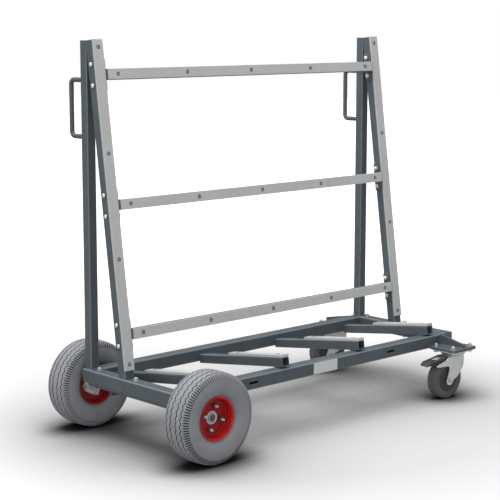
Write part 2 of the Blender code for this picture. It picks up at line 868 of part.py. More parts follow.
def tyre_profile():
    """Section of a solid tyre, from one bead over the crown to the other."""
    half = (
        (tyre_bore, tyre_seat),
        (rim_lip + running_gap, tyre_seat),
        (bead_radius, bead_half_width),
        (sidewall_foot, wheel_half_width),
        (sidewall_top, wheel_half_width),
        (wheel_radius - shoulder_drop, shoulder_half_width),
        (wheel_radius, crown_half_width),
    )
    return [(radius, -height) for radius, height in half] + list(reversed(half))


def rim_profile(way):
    """Section of one rim half. Way is 1 for the outer half and -1 for the inner."""
    outline = (
        (hub_radius + 2 * seat_gap, disc_from_middle),
        (rim_drum, disc_from_middle),
        (rim_drum, seat_gap / 2),
        (drum_outside, seat_gap / 2),
        (drum_outside, rim_half_width - rim_sheet),
        (rim_lip, rim_half_width - rim_sheet),
        (rim_lip, rim_half_width),
        (rim_drum + rim_sheet / 2, rim_half_width),
        (rim_drum, rim_half_width - rim_sheet),
        (rim_drum, disc_far),
        (hub_radius + 2 * seat_gap, disc_far),
    )
    return [(radius, way * height) for radius, height in outline]


def rim_bolt_centres():
    centres = []
    for quarter in range(4):
        angle = math.radians(rim_bolt_turn + 90 * quarter)
        centres.append((rim_bolt_circle * math.cos(angle), rim_bolt_circle * math.sin(angle)))
    return centres


def make_hub(name, parent):
    """A hub tube with a four-cornered flange on the inner side of the rim."""
    shape = bmesh.new()
    turned(shape, ((hub_radius, -hub_inner_end), (hub_radius, hub_outer_end)), hub_sides, closed=False)
    hub = make_object(name, shape, zinc, parent=parent)
    corner_centre = rim_bolt_circle / math.sqrt(2)
    side = 2 * (corner_centre + hub_flange_land)
    spin = Matrix.Rotation(math.radians(rim_bolt_turn - 45), 4, "Z")
    flange = bmesh.new()
    outline = rounded(side, side, hub_flange_land)
    prism(flange, outline, "Z", hub_flange_far, hub_flange_near, frame=spin)
    combine(hub, flange, "UNION")
    cutter = bmesh.new()
    start = Vector((0.0, 0.0, -hub_inner_end - cut_overrun))
    rod(cutter, start, Vector((0.0, 0.0, hub_outer_end + cut_overrun)), hub_bore, hub_sides)
    for x, y in rim_bolt_centres():
        bolt_hole(cutter, (x, y, hub_flange_far), (0.0, 0.0, 1.0), hub_flange, rim_bolt)
    combine(hub, cutter)


def make_big_wheel(name, side):
    """One big wheel. Side is -1 at the front and 1 at the back."""
    y = -wheel_stand_off if side < 0 else frame_width + wheel_stand_off
    rotation = (-side * math.pi / 2, 0.0, 0.0)
    centre = make_empty(name + "_centre", at(axle_from_end, y, wheel_radius), rotation)

    shape = bmesh.new()
    turned(shape, tyre_profile(), wheel_sides, turn=half_turn, fit=wheel_fit)
    make_object(name + "_tyre", shape, tyre_rubber, parent=centre)

    for half, way in (("_outer_rim", 1), ("_inner_rim", -1)):
        shape = bmesh.new()
        turned(shape, rim_profile(way), wheel_sides, turn=half_turn, fit=wheel_fit)
        rim = make_object(name + half, shape, rim_paint, parent=centre)
        cutter = bmesh.new()
        for x, y in rim_bolt_centres():
            start = (x, y, way * disc_from_middle)
            bolt_hole(cutter, start, (0.0, 0.0, way), rim_sheet, rim_bolt)
        combine(rim, cutter)

    make_hub(name + "_hub", centre)

    shape = bmesh.new()
    profile = (
        (journal_radius + journal_clearance, -hub_inner_end),
        (hub_bore - seat_gap, -hub_inner_end),
        (hub_bore - seat_gap, hub_outer_end),
        (journal_radius + journal_clearance, hub_outer_end),
    )
    turned(shape, profile, hub_sides)
    make_object(name + "_bearing", shape, zinc, parent=centre)


make_big_wheel("front_wheel", -1)
make_big_wheel("back_wheel", 1)

# Outriggers with their welded gussets
caster_x = mirrored_x(caster_from_end)
pattern = []
for sign_x in (-1, 1):
    for sign_y in (-1, 1):
        pattern.append((sign_x * bolt_pattern_length / 2, sign_y * bolt_pattern_width / 2))


def make_outrigger(name, side):
    """A plate that stands out from the frame over a castor. Side is -1 at the front and 1 at the back."""
    swivel_y = -caster_from_side if side < 0 else frame_width + caster_from_side
    place = Matrix.Translation(at(caster_x, swivel_y, rail_bottom))
    near = side * (seat_gap - caster_from_side)
    far = side * (outrigger_reach - caster_from_side)
    shape = bmesh.new()
    outline = rounded(outrigger_length, abs(far - near), outrigger_corner, (0.0, (near + far) / 2))
    prism(shape, outline, "Z", 0.0, outrigger_thickness)
    plate = make_object(name, shape, painted, place)
    foot = outrigger_thickness - join_overlap
    nose = far - side * gusset_setback
    outline = (
        (near, foot),
        (nose, foot),
        (nose, outrigger_thickness + gusset_nose),
        (near, rail_size),
    )
    gusset = bmesh.new()
    prism(gusset, outline, "X", -gusset_thickness / 2, gusset_thickness / 2)
    combine(plate, gusset, "UNION")
    cutter = bmesh.new()
    for x, y in pattern:
        bolt_hole(cutter, (x, y, 0.0), (0.0, 0.0, 1.0), outrigger_thickness, mount_bolt)
    combine(plate, cutter)


make_outrigger("front_outrigger", -1)
make_outrigger("back_outrigger", 1)

# Castors: each has a fixed plate with a kingpin, and a fork that swivels on it. X points to the trailing side
caster_fit = 1 / math.cos(math.pi / caster_sides)
caster_half_turn = math.pi / caster_sides


def make_mount_plate(name, place):
    """The castor's plate with the raceway under it and a headed kingpin."""
    shape = bmesh.new()
    length = bolt_pattern_length + 2 * mount_margin
    width = bolt_pattern_width + 2 * mount_margin
    prism(shape, rounded(length, width, mount_corner), "Z", mount_bottom, mount_top)
    plate = make_object(name, shape, zinc, place)
    raceway_bottom = crown_top + running_gap
    head_top = crown_bottom - running_gap
    head_bottom = head_top - kingpin_head_height
    profile = (
        (raceway_radius, mount_bottom + join_overlap),
        (raceway_radius, mount_bottom - raceway_edge),
        (raceway_radius - raceway_taper, raceway_bottom),
        (kingpin_radius, raceway_bottom),
        (kingpin_radius, head_top),
        (kingpin_head, head_top),
        (kingpin_head - kingpin_edge, head_bottom),
    )
    raceway = bmesh.new()
    turned(raceway, profile, raceway_sides, closed=False)
    combine(plate, raceway, "UNION")
    cutter = bmesh.new()
    for x, y in pattern:
        bolt_hole(cutter, (x, y, mount_bottom), (0.0, 0.0, 1.0), mount_thickness, mount_bolt)
    combine(plate, cutter)


def fork_outline():
    """Side view of a fork plate: a broad top, an ear beside the pedal, and a leg that slants to the axle."""
    front = [(along * fork_reach, up * crown_top) for along, up in fork_front_shares]
    back = [(along * fork_reach, up * crown_top) for along, up in fork_back_shares + fork_ear_shares]
    end = []
    for step in range(fork_end_points):
        angle = math.radians(fork_end_from + (fork_end_to - fork_end_from) * step / (fork_end_points - 1))
        x = caster_trail + fork_end_radius * math.cos(angle)
        end.append((x, caster_radius - fork_end_drop + fork_end_radius * math.sin(angle)))
    return front + end + back


def make_fork(name, parent):
    shape = bmesh.new()
    bore = kingpin_radius + running_gap
    profile = (
        (bore, crown_bottom),
        (crown_radius, crown_bottom),
        (crown_radius, crown_top),
        (bore, crown_top),
    )
    turned(shape, profile, raceway_sides)
    fork = make_object(name, shape, zinc, parent=parent)
    plates = bmesh.new()
    for way in (-1, 1):
        prism(plates, fork_outline(), "Y", way * fork_inner, way * fork_outer)
    combine(fork, plates, "UNION")
    cutter = bmesh.new()
    across = Vector((0.0, fork_outer + cut_overrun, 0.0))
    axle_centre = Vector((caster_trail, 0.0, caster_radius))
    hinge = Vector((pedal_hinge_from_swivel, 0.0, pedal_hinge_height))
    rod(cutter, axle_centre - across, axle_centre + across, caster_bolt + hole_clearance, bolt_sides)
    rod(cutter, hinge - across, hinge + across, pedal_pin + running_gap, pin_sides)
    combine(fork, cutter)


def make_caster_wheel(name, parent):
    shape = bmesh.new()
    half = (
        (caster_core_radius + seat_gap, caster_half_width),
        (caster_radius - caster_edge, caster_half_width),
        (caster_radius, caster_half_width - caster_edge),
    )
    profile = list(half) + [(radius, -height) for radius, height in reversed(half)]
    turned(shape, profile, caster_sides, turn=caster_half_turn, fit=caster_fit)
    make_object(name + "_tyre", shape, caster_rubber, parent=parent)

    shape = bmesh.new()
    half = (
        (caster_bolt + running_gap, caster_hub_half_width),
        (caster_hub_radius, caster_hub_half_width),
        (caster_hub_radius, caster_guard_half_width),
        (caster_guard_radius, caster_guard_half_width),
        (caster_core_radius, caster_core_edge),
    )
    profile = list(half) + [(radius, -height) for radius, height in reversed(half)]
    turned(shape, profile, caster_sides, turn=caster_half_turn, fit=caster_fit)
    make_object(name + "_core", shape, caster_plastic, parent=parent)


def make_pedal(name, parent):
    """A curved foot plate on a pin that turns in the ears of the fork. Its frame lies on the pin's axis."""
    line = [Vector((share_x * pedal_reach, share_z * pedal_drop)) for share_x, share_z in pedal_line_shares]
    upper = []
    lower = []
    for index, point in enumerate(line):
        along = line[min(index + 1, len(line) - 1)] - line[max(index - 1, 0)]
        normal = Vector((-along.y, along.x)).normalized() * pedal_thickness / 2
        upper.append(tuple(point + normal))
        lower.append(tuple(point - normal))
    shape = bmesh.new()
    prism(shape, upper + lower[::-1], "Y", -pedal_half_width, pedal_half_width)
    place = Matrix.Translation((pedal_hinge_from_swivel, 0.0, pedal_hinge_height))
    pedal = make_object(name, shape, pedal_steel, place, parent)
    pin_end = fork_outer + pedal_pin_past_fork
    barrel = bmesh.new()
    profile = (
        (pedal_pin, -pin_end),
        (pedal_pin, -pedal_half_width),
        (pedal_barrel, -pedal_half_width),
        (pedal_barrel, pedal_half_width),
        (pedal_pin, pedal_half_width),
        (pedal_pin, pin_end),
    )
    turned(barrel, profile, pin_sides, closed=False, direction=(0.0, 1.0, 0.0))
    combine(pedal, barrel, "UNION")
    cutter = bmesh.new()
    for share, radius in ((pedal_window_share, pedal_window), (pedal_hole_share, pedal_hole)):
        centre = Vector((share * pedal_reach, 0.0, 0.0))
        up = Vector((0.0, 0.0, pedal_drop))
        rod(cutter, centre - up, centre + up, radius, pin_sides)
    taper_start = pedal_taper_share * pedal_reach
    taper_end = pedal_reach + cut_overrun
    for way in (-1, 1):
        outside = way * (pedal_half_width + cut_overrun)
        outline = (
            (taper_start, way * pedal_half_width),
            (taper_end, way * pedal_tip_half_width),
            (taper_end, outside),
            (taper_start, outside),
        )
        prism(cutter, outline, "Z", -pedal_drop - cut_overrun, pedal_drop)
    combine(pedal, cutter)


def make_caster(name, side, turn):
    """One castor. Side is -1 at the front and 1 at the back. Turn is the way its trailing side points."""
    y = -caster_from_side if side < 0 else frame_width + caster_from_side
    make_mount_plate(name + "_mount_plate", Matrix.Translation(at(caster_x, y, 0.0)))
    swivel = make_empty(name + "_swivel", at(caster_x, y, 0.0), (0.0, 0.0, math.radians(turn)))
    make_fork(name + "_fork", swivel)
    wheel_place = (caster_trail, 0.0, caster_radius)
    wheel = make_empty(name + "_wheel", wheel_place, (math.pi / 2, 0.0, 0.0), swivel)
    make_caster_wheel(name, wheel)

    shape = bmesh.new()
    sizes = (caster_bolt, caster_bolt_corner, caster_bolt_head, caster_nut, caster_thread_end)
    bolt_with_nut(shape, (0.0, -fork_outer, 0.0), (0.0, 1.0, 0.0), 2 * fork_outer, *sizes)
    place = Matrix.Translation((caster_trail, 0.0, caster_radius))
    make_object(name + "_axle_bolt", shape, zinc, place, swivel)
    make_pedal(name + "_brake_pedal", swivel)


make_caster("front_caster", -1, front_caster_turn)
make_caster("back_caster", 1, back_caster_turn)
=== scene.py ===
"""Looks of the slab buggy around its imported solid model: tyres with their tread, pressed rims and forks, all
the fasteners, weld beads and procedural finishes, with a studio floor, light and camera.

Metres, in the solid model's frame. Lengths along X are counted here from the outer face of the rail at the
wheel end, and lengths along Y from the front face of the front rail. at() moves both to the model's origin.
"""

import json
import math
import random

import bmesh
import bpy
from mathutils import Matrix, Vector


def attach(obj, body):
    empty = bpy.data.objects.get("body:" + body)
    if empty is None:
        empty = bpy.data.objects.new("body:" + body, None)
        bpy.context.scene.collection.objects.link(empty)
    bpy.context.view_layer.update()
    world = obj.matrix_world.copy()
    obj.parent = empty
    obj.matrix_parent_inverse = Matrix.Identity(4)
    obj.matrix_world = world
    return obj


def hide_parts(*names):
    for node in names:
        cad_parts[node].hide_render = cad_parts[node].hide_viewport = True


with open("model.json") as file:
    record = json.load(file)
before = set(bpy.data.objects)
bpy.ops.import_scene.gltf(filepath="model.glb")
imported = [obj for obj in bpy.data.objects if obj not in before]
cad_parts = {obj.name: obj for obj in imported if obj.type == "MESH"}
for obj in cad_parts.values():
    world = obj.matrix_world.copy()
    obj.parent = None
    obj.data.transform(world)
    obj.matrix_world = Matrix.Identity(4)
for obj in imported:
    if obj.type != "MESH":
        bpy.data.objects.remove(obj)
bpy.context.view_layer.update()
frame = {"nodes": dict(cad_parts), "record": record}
nodes = frame["nodes"]

# Sizes that the solid model has too
frame_length = 1.200
frame_width = 0.412
middle_x = 0.5715
middle_y = frame_width / 2
rail_size = 0.040
rail_top = 0.195
rail_bottom = rail_top - rail_size
upright_top = 1.149
leg_above_post = 0.004
post_width = 0.030
post_depth = 0.030
post_wall = 0.002
post_back = frame_width - 0.0026
post_front = post_back - post_depth
leg_width = 0.035
leg_depth = 0.030
leg_inset = 0.004
upright_x = leg_inset + leg_width / 2
leg_wall = 0.002
leg_foot_front = 0.2125
leg_strip_thickness = 0.004
seat_gap = 0.0003
leg_tube_start = leg_strip_thickness + seat_gap
leg_total = leg_tube_start + leg_depth
leg_centre = leg_tube_start + leg_depth / 2
lean_run = post_front - seat_gap - leg_foot_front
lean_rise = upright_top - rail_top
lean = math.acos(leg_total / math.hypot(lean_run, lean_rise)) - math.atan2(lean_rise, lean_run)
leg_length = (upright_top + leg_above_post - rail_top) / math.cos(lean)
lowest_crossbar = 0.320
crossbar_spacing = 0.3674
crossbar_strip_thickness = 0.004
flange_thickness = 0.005
flange_bolt_offset = 0.030
arm_size = 0.028
arm_front = -0.037 / math.cos(lean)
first_arm = 0.108
arm_spacing = (frame_length - 2 * first_arm) / 3
pad_thickness = 0.008
pad_length = 0.235
handle_low = 0.874
handle_high = 1.0365
handle_reach = 0.0626
handle_bend = 0.014
handle_rod = 0.007
wheel_radius = 0.130
wheel_stand_off = 0.0632
axle_from_end = 0.073
caster_x = frame_length - 0.0596
caster_from_side = 0.0527
caster_trail = 0.038
caster_axle_height = 0.0625
caster_turns = {"front": 176.0, "back": 162.0}
outrigger_thickness = 0.008
outrigger_reach = 0.104
mount_top = rail_bottom - seat_gap
mount_bottom = mount_top - 0.004
crown_top = 0.1385
fork_inner = 0.022
fork_plate = 0.004
fork_outer = fork_inner + fork_plate


def at(x, y, z):
    """A point from its distance to the wheel end, to the front face and to the ground."""
    return Vector((x - middle_x, y - middle_y, z))


def leaning(x):
    """Frame of a leaning leg: X across it, Y square to it and away from the slab, Z up along it."""
    return Matrix.Translation(at(x, leg_foot_front, rail_top)) @ Matrix.Rotation(-lean, 4, "X")


def arm_frame(index):
    """Frame of a support arm: Y runs back along it and Z is square to it."""
    x = first_arm + index * arm_spacing
    return Matrix.Translation(at(x, rail_size, rail_top + seat_gap)) @ Matrix.Rotation(-lean, 4, "X")


def facing(point, direction):
    """Frame at a point whose Z looks along a direction."""
    turn = Vector((0.0, 0.0, 1.0)).rotation_difference(Vector(direction).normalized())
    return Matrix.Translation(Vector(point)) @ turn.to_matrix().to_4x4()


# Node materials
class Nodes:
    """Node tree of a material or world."""

    def __init__(self, owner):
        owner.use_nodes = True
        self.tree = owner.node_tree

    def node(self, kind, inputs=None, **settings):
        """A new node, with its inputs set to values or linked to outputs."""
        made = self.tree.nodes.new("ShaderNode" + kind)
        for key, value in settings.items():
            setattr(made, key, value)
        for key, value in (inputs or {}).items():
            socket = made.inputs[key]
            if isinstance(value, bpy.types.NodeSocket):
                self.tree.links.new(value, socket)
            elif socket.type == "RGBA":
                socket.default_value = (*value, 1.0)
            else:
                socket.default_value = value
        return made

    def span(self, value, low, high, to_low=0.0, to_high=1.0):
        ends = {"From Min": low, "From Max": high, "To Min": to_low, "To Max": to_high}
        return self.node("MapRange", {"Value": value, **ends}).outputs["Result"]

    def maths(self, operation, first, second=0.0):
        return self.node("Math", {0: first, 1: second}, operation=operation).outputs["Value"]

    def vector_maths(self, operation, first, second=(0.0, 0.0, 0.0)):
        return self.node("VectorMath", {0: first, 1: second}, operation=operation).outputs["Value"]

    def times(self, first, second):
        return self.maths("MULTIPLY", first, second)

    def mixed(self, kind, share, first, second):
        """Blends two colours or numbers."""
        return self.node("Mix", {"Factor": share, "A": first, "B": second}, data_type=kind).outputs["Result"]


def shaded(colour, share):
    """A colour made lighter or darker."""
    return tuple(part * share for part in colour)


no_stretch = (1.0, 1.0, 1.0)
no_offset = (0.0, 0.0, 0.0)
noise_roughness = 0.55
bevel_samples = 4


class Finish(Nodes):
    """A procedural material that is put together step by step."""

    def __init__(self, name, colour, roughness, metallic=0.0):
        self.material = bpy.data.materials.new(name)
        super().__init__(self.material)
        self.shader = self.tree.nodes["Principled BSDF"]
        self.shader.inputs["Metallic"].default_value = metallic
        self.shader.inputs["Roughness"].default_value = roughness
        self.shader.inputs["Base Color"].default_value = (*colour, 1.0)
        self.colour = colour
        self.roughness = roughness
        self.normal = None
        self.place = self.node("TexCoord").outputs["Object"]
        self.geometry = self.node("NewGeometry").outputs

    def noise(self, scale, detail, stretch=no_stretch, offset=no_offset):
        mapped = self.node("Mapping", {"Vector": self.place, "Scale": stretch, "Location": offset})
        grain = {"Scale": scale, "Detail": detail, "Roughness": noise_roughness}
        return self.node("TexNoise", {"Vector": mapped.outputs["Vector"], **grain}).outputs["Fac"]

    def cells(self, scale):
        return self.node("TexVoronoi", {"Vector": self.place, "Scale": scale}).outputs

    def patches(self, scale, detail, low, high, most=1.0, least=0.0, stretch=no_stretch, offset=no_offset):
        """Mask that grows from its least to its most where a noise lies between two values."""
        return self.span(self.noise(scale, detail, stretch, offset), low, high, least, most)

    def tint(self, mask, colour):
        """Blends the colour so far towards another one by a mask."""
        self.colour = self.mixed("RGBA", mask, self.colour, colour)

    def cloud(self, colour, *pattern, **place):
        """Blends in a colour by patches."""
        self.tint(self.patches(*pattern, **place), colour)

    def roughen(self, mask, value):
        """Blends the roughness so far towards another value by a mask."""
        self.roughness = self.mixed("FLOAT", mask, self.roughness, value)

    def bevel(self, radius):
        return self.node("Bevel", {"Radius": radius}, samples=bevel_samples).outputs["Normal"]

    def round_edges(self, radius):
        self.normal = self.bevel(radius)

    def bump(self, height, depth, strength):
        inputs = {"Strength": strength, "Distance": depth, "Height": height}
        if self.normal:
            inputs["Normal"] = self.normal
        self.normal = self.node("Bump", inputs).outputs["Normal"]

    def edges(self, radius, low=0.02, high=0.16):
        """Mask that is 1 where the surface turns sharply within a radius."""
        likeness = self.vector_maths("DOT_PRODUCT", self.bevel(radius), self.geometry["Normal"])
        return self.span(self.maths("SUBTRACT", 1.0, likeness), low, high)

    def axes(self, vector):
        return self.node("SeparateXYZ", {"Vector": vector}).outputs

    def chamfers(self):
        """Mask that is 1 on the slanting strips along the edges of square tubes."""
        parts = self.axes(self.geometry["True Normal"])
        pairs = []
        for first, second in (("X", "Y"), ("Y", "Z"), ("X", "Z")):
            pairs.append(self.maths("ABSOLUTE", self.times(parts[first], parts[second])))
        largest = self.maths("MAXIMUM", self.maths("MAXIMUM", pairs[0], pairs[1]), pairs[2])
        return self.span(largest, 0.30, 0.46)

    def upward(self):
        """Mask that grows on surfaces that look up, where dust settles."""
        return self.span(self.axes(self.geometry["Normal"])["Z"], 0.35, 1.0)

    def done(self):
        self.tree.links.new(self.colour, self.shader.inputs["Base Color"])
        self.tree.links.new(self.roughness, self.shader.inputs["Roughness"])
        self.tree.links.new(self.normal, self.shader.inputs["Normal"])
        return self.material


def painted_steel(name, colour, worn=0.5, square=False):
    """Paint with a fine orange peel, faint clouding, dust on top, painted highlights along sharp edges and on
    square tubes' chamfers, and rubbed edges.
    """
    made = Finish(name, colour, 0.5)
    made.cloud(shaded(colour, 1.35), 7.0, 4.0, 0.42, 0.75, 0.7)
    made.cloud(shaded(colour, 0.72), 19.0, 5.0, 0.52, 0.8, 0.6, offset=(3.0, 1.0, 7.0))
    made.tint(made.times(made.upward(), made.patches(26.0, 6.0, 0.35, 0.75, 0.14)), (0.15, 0.155, 0.155))
    made.cloud(shaded(colour, 1.35), 420.0, 2.0, 0.70, 0.78, 0.5)
    # Painted highlight: a thin lighter line where the surface turns sharply.
    made.tint(made.times(made.edges(0.0022, 0.012, 0.05), 0.4), shaded(colour, 2.4))
    # Painted highlight on the slanting chamfers of square tubes.
    if square:
        made.tint(made.times(made.chamfers(), 0.6), shaded(colour, 2.7))
    rubbed = made.times(made.edges(0.0016), made.patches(75.0, 5.0, 0.50, 0.66, 1.0, 0.05))
    made.tint(made.times(rubbed, worn), (0.30, 0.30, 0.29))
    made.roughen(made.patches(60.0, 4.0, 0.35, 0.7, 0.6), 0.64)
    made.round_edges(0.0016)
    made.bump(made.noise(900.0, 2.0), 0.00004, 0.35)
    made.bump(made.noise(160.0, 3.0), 0.00008, 0.25)
    return made.done()


def strip_plastic_finish():
    """Pale hard plastic with long scuffs, grey rub marks and a dull grain."""
    made = Finish("light_strip_plastic", (0.49, 0.495, 0.495), 0.55)
    made.cloud((0.53, 0.535, 0.533), 9.0, 4.0, 0.4, 0.75, 0.6)
    made.cloud((0.42, 0.425, 0.425), 30.0, 5.0, 0.55, 0.8, 0.5, offset=(5.0, 2.0, 1.0))
    scuffs = made.patches(240.0, 3.0, 0.63, 0.72, 0.55, stretch=(1.0, 1.0, 0.07))
    made.tint(scuffs, (0.40, 0.405, 0.405))
    made.cloud((0.56, 0.565, 0.56), 240.0, 3.0, 0.65, 0.74, 0.5, stretch=(0.06, 1.0, 1.0))
    made.tint(made.edges(0.0012), (0.57, 0.575, 0.575))
    made.roughen(scuffs, 0.72)
    made.roughen(made.patches(45.0, 4.0, 0.4, 0.7, 0.5), 0.44)
    made.round_edges(0.0009)
    made.bump(made.noise(700.0, 3.0), 0.00005, 0.4)
    made.bump(scuffs, 0.00006, 0.5)
    return made.done()


def zinc_finish(name, colour, roughness=0.36, spangle=55.0):
    """Bright zinc plating: soft spangle, a faint yellow and blue cast, fine brushing and dull spots."""
    made = Finish(name, colour, roughness, 0.85)
    shade = made.node("SeparateColor", {"Color": made.cells(spangle)["Color"]}).outputs
    made.tint(made.span(shade["Red"], 0.0, 1.0, 0.0, 0.28), shaded(colour, 1.25))
    made.cloud((0.47, 0.46, 0.42), 14.0, 4.0, 0.48, 0.72, 0.35)
    made.cloud((0.36, 0.39, 0.43), 17.0, 4.0, 0.5, 0.75, 0.3, offset=(9.0, 4.0, 2.0))
    made.cloud((0.22, 0.22, 0.215), 130.0, 5.0, 0.62, 0.72, 0.4)
    made.roughen(made.span(shade["Green"], 0.0, 1.0, 0.0, 0.6), roughness + 0.14)
    made.roughen(made.patches(90.0, 5.0, 0.5, 0.75, 0.7), roughness + 0.2)
    made.round_edges(0.0007)
    made.bump(made.noise(600.0, 2.0, (1.0, 1.0, 0.15)), 0.00003, 0.35)
    return made.done()


def rubber_finish(name, colour, roughness, dust=(0.16, 0.16, 0.165), dust_share=0.35):
    """Matt rubber with mould grain, rubbed highlights and pale dust."""
    made = Finish(name, colour, roughness)
    made.shader.inputs["Specular IOR Level"].default_value = 0.3
    made.cloud(shaded(colour, 1.3), 12.0, 4.0, 0.42, 0.72, 0.6)
    made.cloud(shaded(colour, 0.7), 48.0, 5.0, 0.55, 0.8, 0.6, offset=(1.0, 8.0, 3.0))
    made.cloud(dust, 85.0, 6.0, 0.52, 0.74, dust_share)
    made.tint(made.times(made.edges(0.0012), 0.35), dust)
    made.roughen(made.patches(35.0, 4.0, 0.4, 0.7, 0.5), roughness - 0.12)
    made.bump(made.noise(1100.0, 2.0), 0.00005, 0.5)
    made.bump(made.noise(150.0, 4.0), 0.0001, 0.3)
    return made.done()


def rim_finish():
    """Red paint over pressed steel, with faint dust, painted shade that darkens the dish towards the disc, and
    small chips down to grey on the edges.
    """
    made = Finish("red_rim_enamel", (0.55, 0.008, 0.008), 0.3)
    made.shader.inputs["Specular IOR Level"].default_value = 0.25
    made.shader.inputs["Coat Weight"].default_value = 0.06
    made.shader.inputs["Coat Roughness"].default_value = 0.12
    made.cloud((0.64, 0.02, 0.014), 22.0, 4.0, 0.42, 0.72, 0.6)
    made.cloud((0.40, 0.008, 0.008), 60.0, 5.0, 0.55, 0.8, 0.6, offset=(2.0, 2.0, 5.0))
    made.cloud((0.40, 0.04, 0.03), 150.0, 6.0, 0.56, 0.74, 0.16)
    # Painted shade: the red darkens with depth into the dish, towards the disc.
    depth = made.maths("ABSOLUTE", made.axes(made.place)["Y"])
    hub_face = frame_width / 2 + wheel_stand_off
    made.tint(made.span(depth, hub_face + 0.014, hub_face + 0.027, 0.85, 0.0), (0.25, 0.004, 0.007))
    chips = made.times(made.edges(0.0012), made.patches(230.0, 5.0, 0.58, 0.62))
    made.tint(made.times(chips, 0.7), (0.25, 0.24, 0.235))
    made.roughen(made.patches(80.0, 5.0, 0.42, 0.7, 0.7), 0.52)
    made.round_edges(0.0008)
    made.bump(made.noise(500.0, 2.0), 0.00004, 0.35)
    return made.done()


def moulded_finish(name, colour, roughness):
    """Moulded plastic: fine spark-eroded grain with faint flow marks and dust."""
    made = Finish(name, colour, roughness)
    made.cloud(shaded(colour, 1.25), 16.0, 4.0, 0.42, 0.72, 0.6)
    made.cloud(shaded(colour, 0.72), 70.0, 6.0, 0.55, 0.78, 0.5, offset=(4.0, 6.0, 1.0))
    made.tint(made.times(made.edges(0.0010), 0.4), shaded(colour, 1.9))
    made.roughen(made.patches(40.0, 4.0, 0.4, 0.7, 0.6), roughness - 0.12)
    made.round_edges(0.0007)
    made.bump(made.cells(1500.0)["Distance"], 0.00004, 0.4)
    return made.done()


def pedal_finish():
    """Dark paint on pressed steel, rubbed bright where shoes press it."""
    made = Finish("brake_pedal_enamel", (0.020, 0.024, 0.023), 0.5)
    made.cloud((0.060, 0.068, 0.063), 30.0, 4.0, 0.42, 0.72, 0.6)
    worn = made.times(made.edges(0.0015), made.patches(140.0, 5.0, 0.42, 0.6, 1.0, 0.15))
    made.tint(made.times(worn, 0.75), (0.33, 0.33, 0.32))
    scraped = made.times(made.upward(), made.patches(170.0, 4.0, 0.56, 0.66, stretch=(0.2, 1.0, 1.0)))
    made.tint(made.times(scraped, 0.2), (0.20, 0.205, 0.20))
    made.roughen(made.patches(60.0, 4.0, 0.4, 0.7, 0.6), 0.62)
    made.round_edges(0.0008)
    made.bump(made.noise(800.0, 2.0), 0.00004, 0.35)
    return made.done()


def label_finish():
    """Plain pale film, lightly clouded and scratched, with nothing on it."""
    made = Finish("plain_label_film", (0.64, 0.645, 0.64), 0.42)
    made.cloud((0.70, 0.70, 0.69), 35.0, 4.0, 0.42, 0.72, 0.5)
    made.cloud((0.52, 0.52, 0.51), 120.0, 6.0, 0.56, 0.76, 0.45, offset=(3.0, 3.0, 3.0))
    made.roughen(made.patches(300.0, 3.0, 0.6, 0.7, stretch=(0.08, 1.0, 1.0)), 0.6)
    made.bump(made.noise(260.0, 3.0), 0.00003, 0.3)
    return made.done()


paint = painted_steel("dark_grey_paint", (0.070, 0.087, 0.099), square=True)
rod_paint = painted_steel("dark_grey_rod_paint", (0.074, 0.091, 0.102))
weld_paint = painted_steel("painted_weld", (0.062, 0.077, 0.087), worn=0.25)
strip_plastic = strip_plastic_finish()
zinc = zinc_finish("zinc_plate", (0.80, 0.81, 0.815))
bright_zinc = zinc_finish("bright_zinc_fastener", (0.62, 0.625, 0.63), 0.28, 160.0)
ladder_zinc = zinc_finish("ladder_bolt_zinc", (0.84, 0.845, 0.85), 0.33, 200.0)
screw_zinc = zinc_finish("screw_zinc", (0.40, 0.405, 0.41), 0.4, 200.0)
# Dark zinc for the rim nuts: painted shade.
rim_nut_shade_zinc = zinc_finish("rim_nut_painted_shade_zinc", (0.13, 0.125, 0.12), 0.45, 200.0)
# Dark steel for rings round screw and bolt heads: painted shade.
painted_shade_steel = zinc_finish("painted_shade_dark_steel", (0.045, 0.045, 0.045), 0.45, 240.0)
tyre_rubber = rubber_finish("grey_tyre_rubber", (0.245, 0.252, 0.272), 0.72, (0.32, 0.325, 0.335), 0.3)
# Dark rubber for groove floors and sunk sipe walls: painted shade.
groove_shade_rubber = rubber_finish("groove_painted_shade_rubber", (0.050, 0.052, 0.056), 0.8, (0.09, 0.09, 0.095), 0.2)
caster_rubber = rubber_finish("castor_tread_rubber", (0.098, 0.094, 0.097), 0.68)
rim_paint = rim_finish()
caster_plastic = moulded_finish("castor_core_plastic", (0.036, 0.037, 0.036), 0.55)
cap_plastic = moulded_finish("grey_cap_plastic", (0.13, 0.13, 0.13), 0.55)
seal_rubber = moulded_finish("bearing_seal", (0.03, 0.03, 0.03), 0.6)
pedal_paint = pedal_finish()
label_film = label_finish()

# Materials of each slot. Its first one is also the finish of the solid model's own nodes
slots = {
    "frame_paint": (paint, rod_paint, weld_paint),
    "strip_plastic": (strip_plastic,),
    "zinc_steel": (zinc, bright_zinc, ladder_zinc, screw_zinc, rim_nut_shade_zinc, painted_shade_steel),
    "tyre_rubber": (tyre_rubber,),
    "rim_paint": (rim_paint,),
    "castor_rubber": (caster_rubber,),
    "castor_plastic": (caster_plastic, seal_rubber),
    "pedal_paint": (pedal_paint,),
    "cap_plastic": (cap_plastic,),
    "label_film": (label_film,),
}
for row in frame["record"]["subparts"]:
    mesh = nodes[row["node"]].data
    mesh.materials.clear()
    mesh.materials.append(slots[row["material_slot"]][0])


# Mesh helpers
def full_turn(steps):
    """Evenly spaced angles round a full turn."""
    return [2 * math.pi * index / steps for index in range(steps)]


def polar(angle, radius, height=0.0):
    """A point from its angle and radius round Z, and its height."""
    return Vector((radius * math.cos(angle), radius * math.sin(angle), height))


def moved(x, y, z):
    return Matrix.Translation((x, y, z))


def spun(degrees, axis):
    return Matrix.Rotation(math.radians(degrees), 4, axis)


def of_point(value, index):
    """A point's value, where one number can stand for all the points."""
    return value[index] if isinstance(value, (list, tuple)) else value


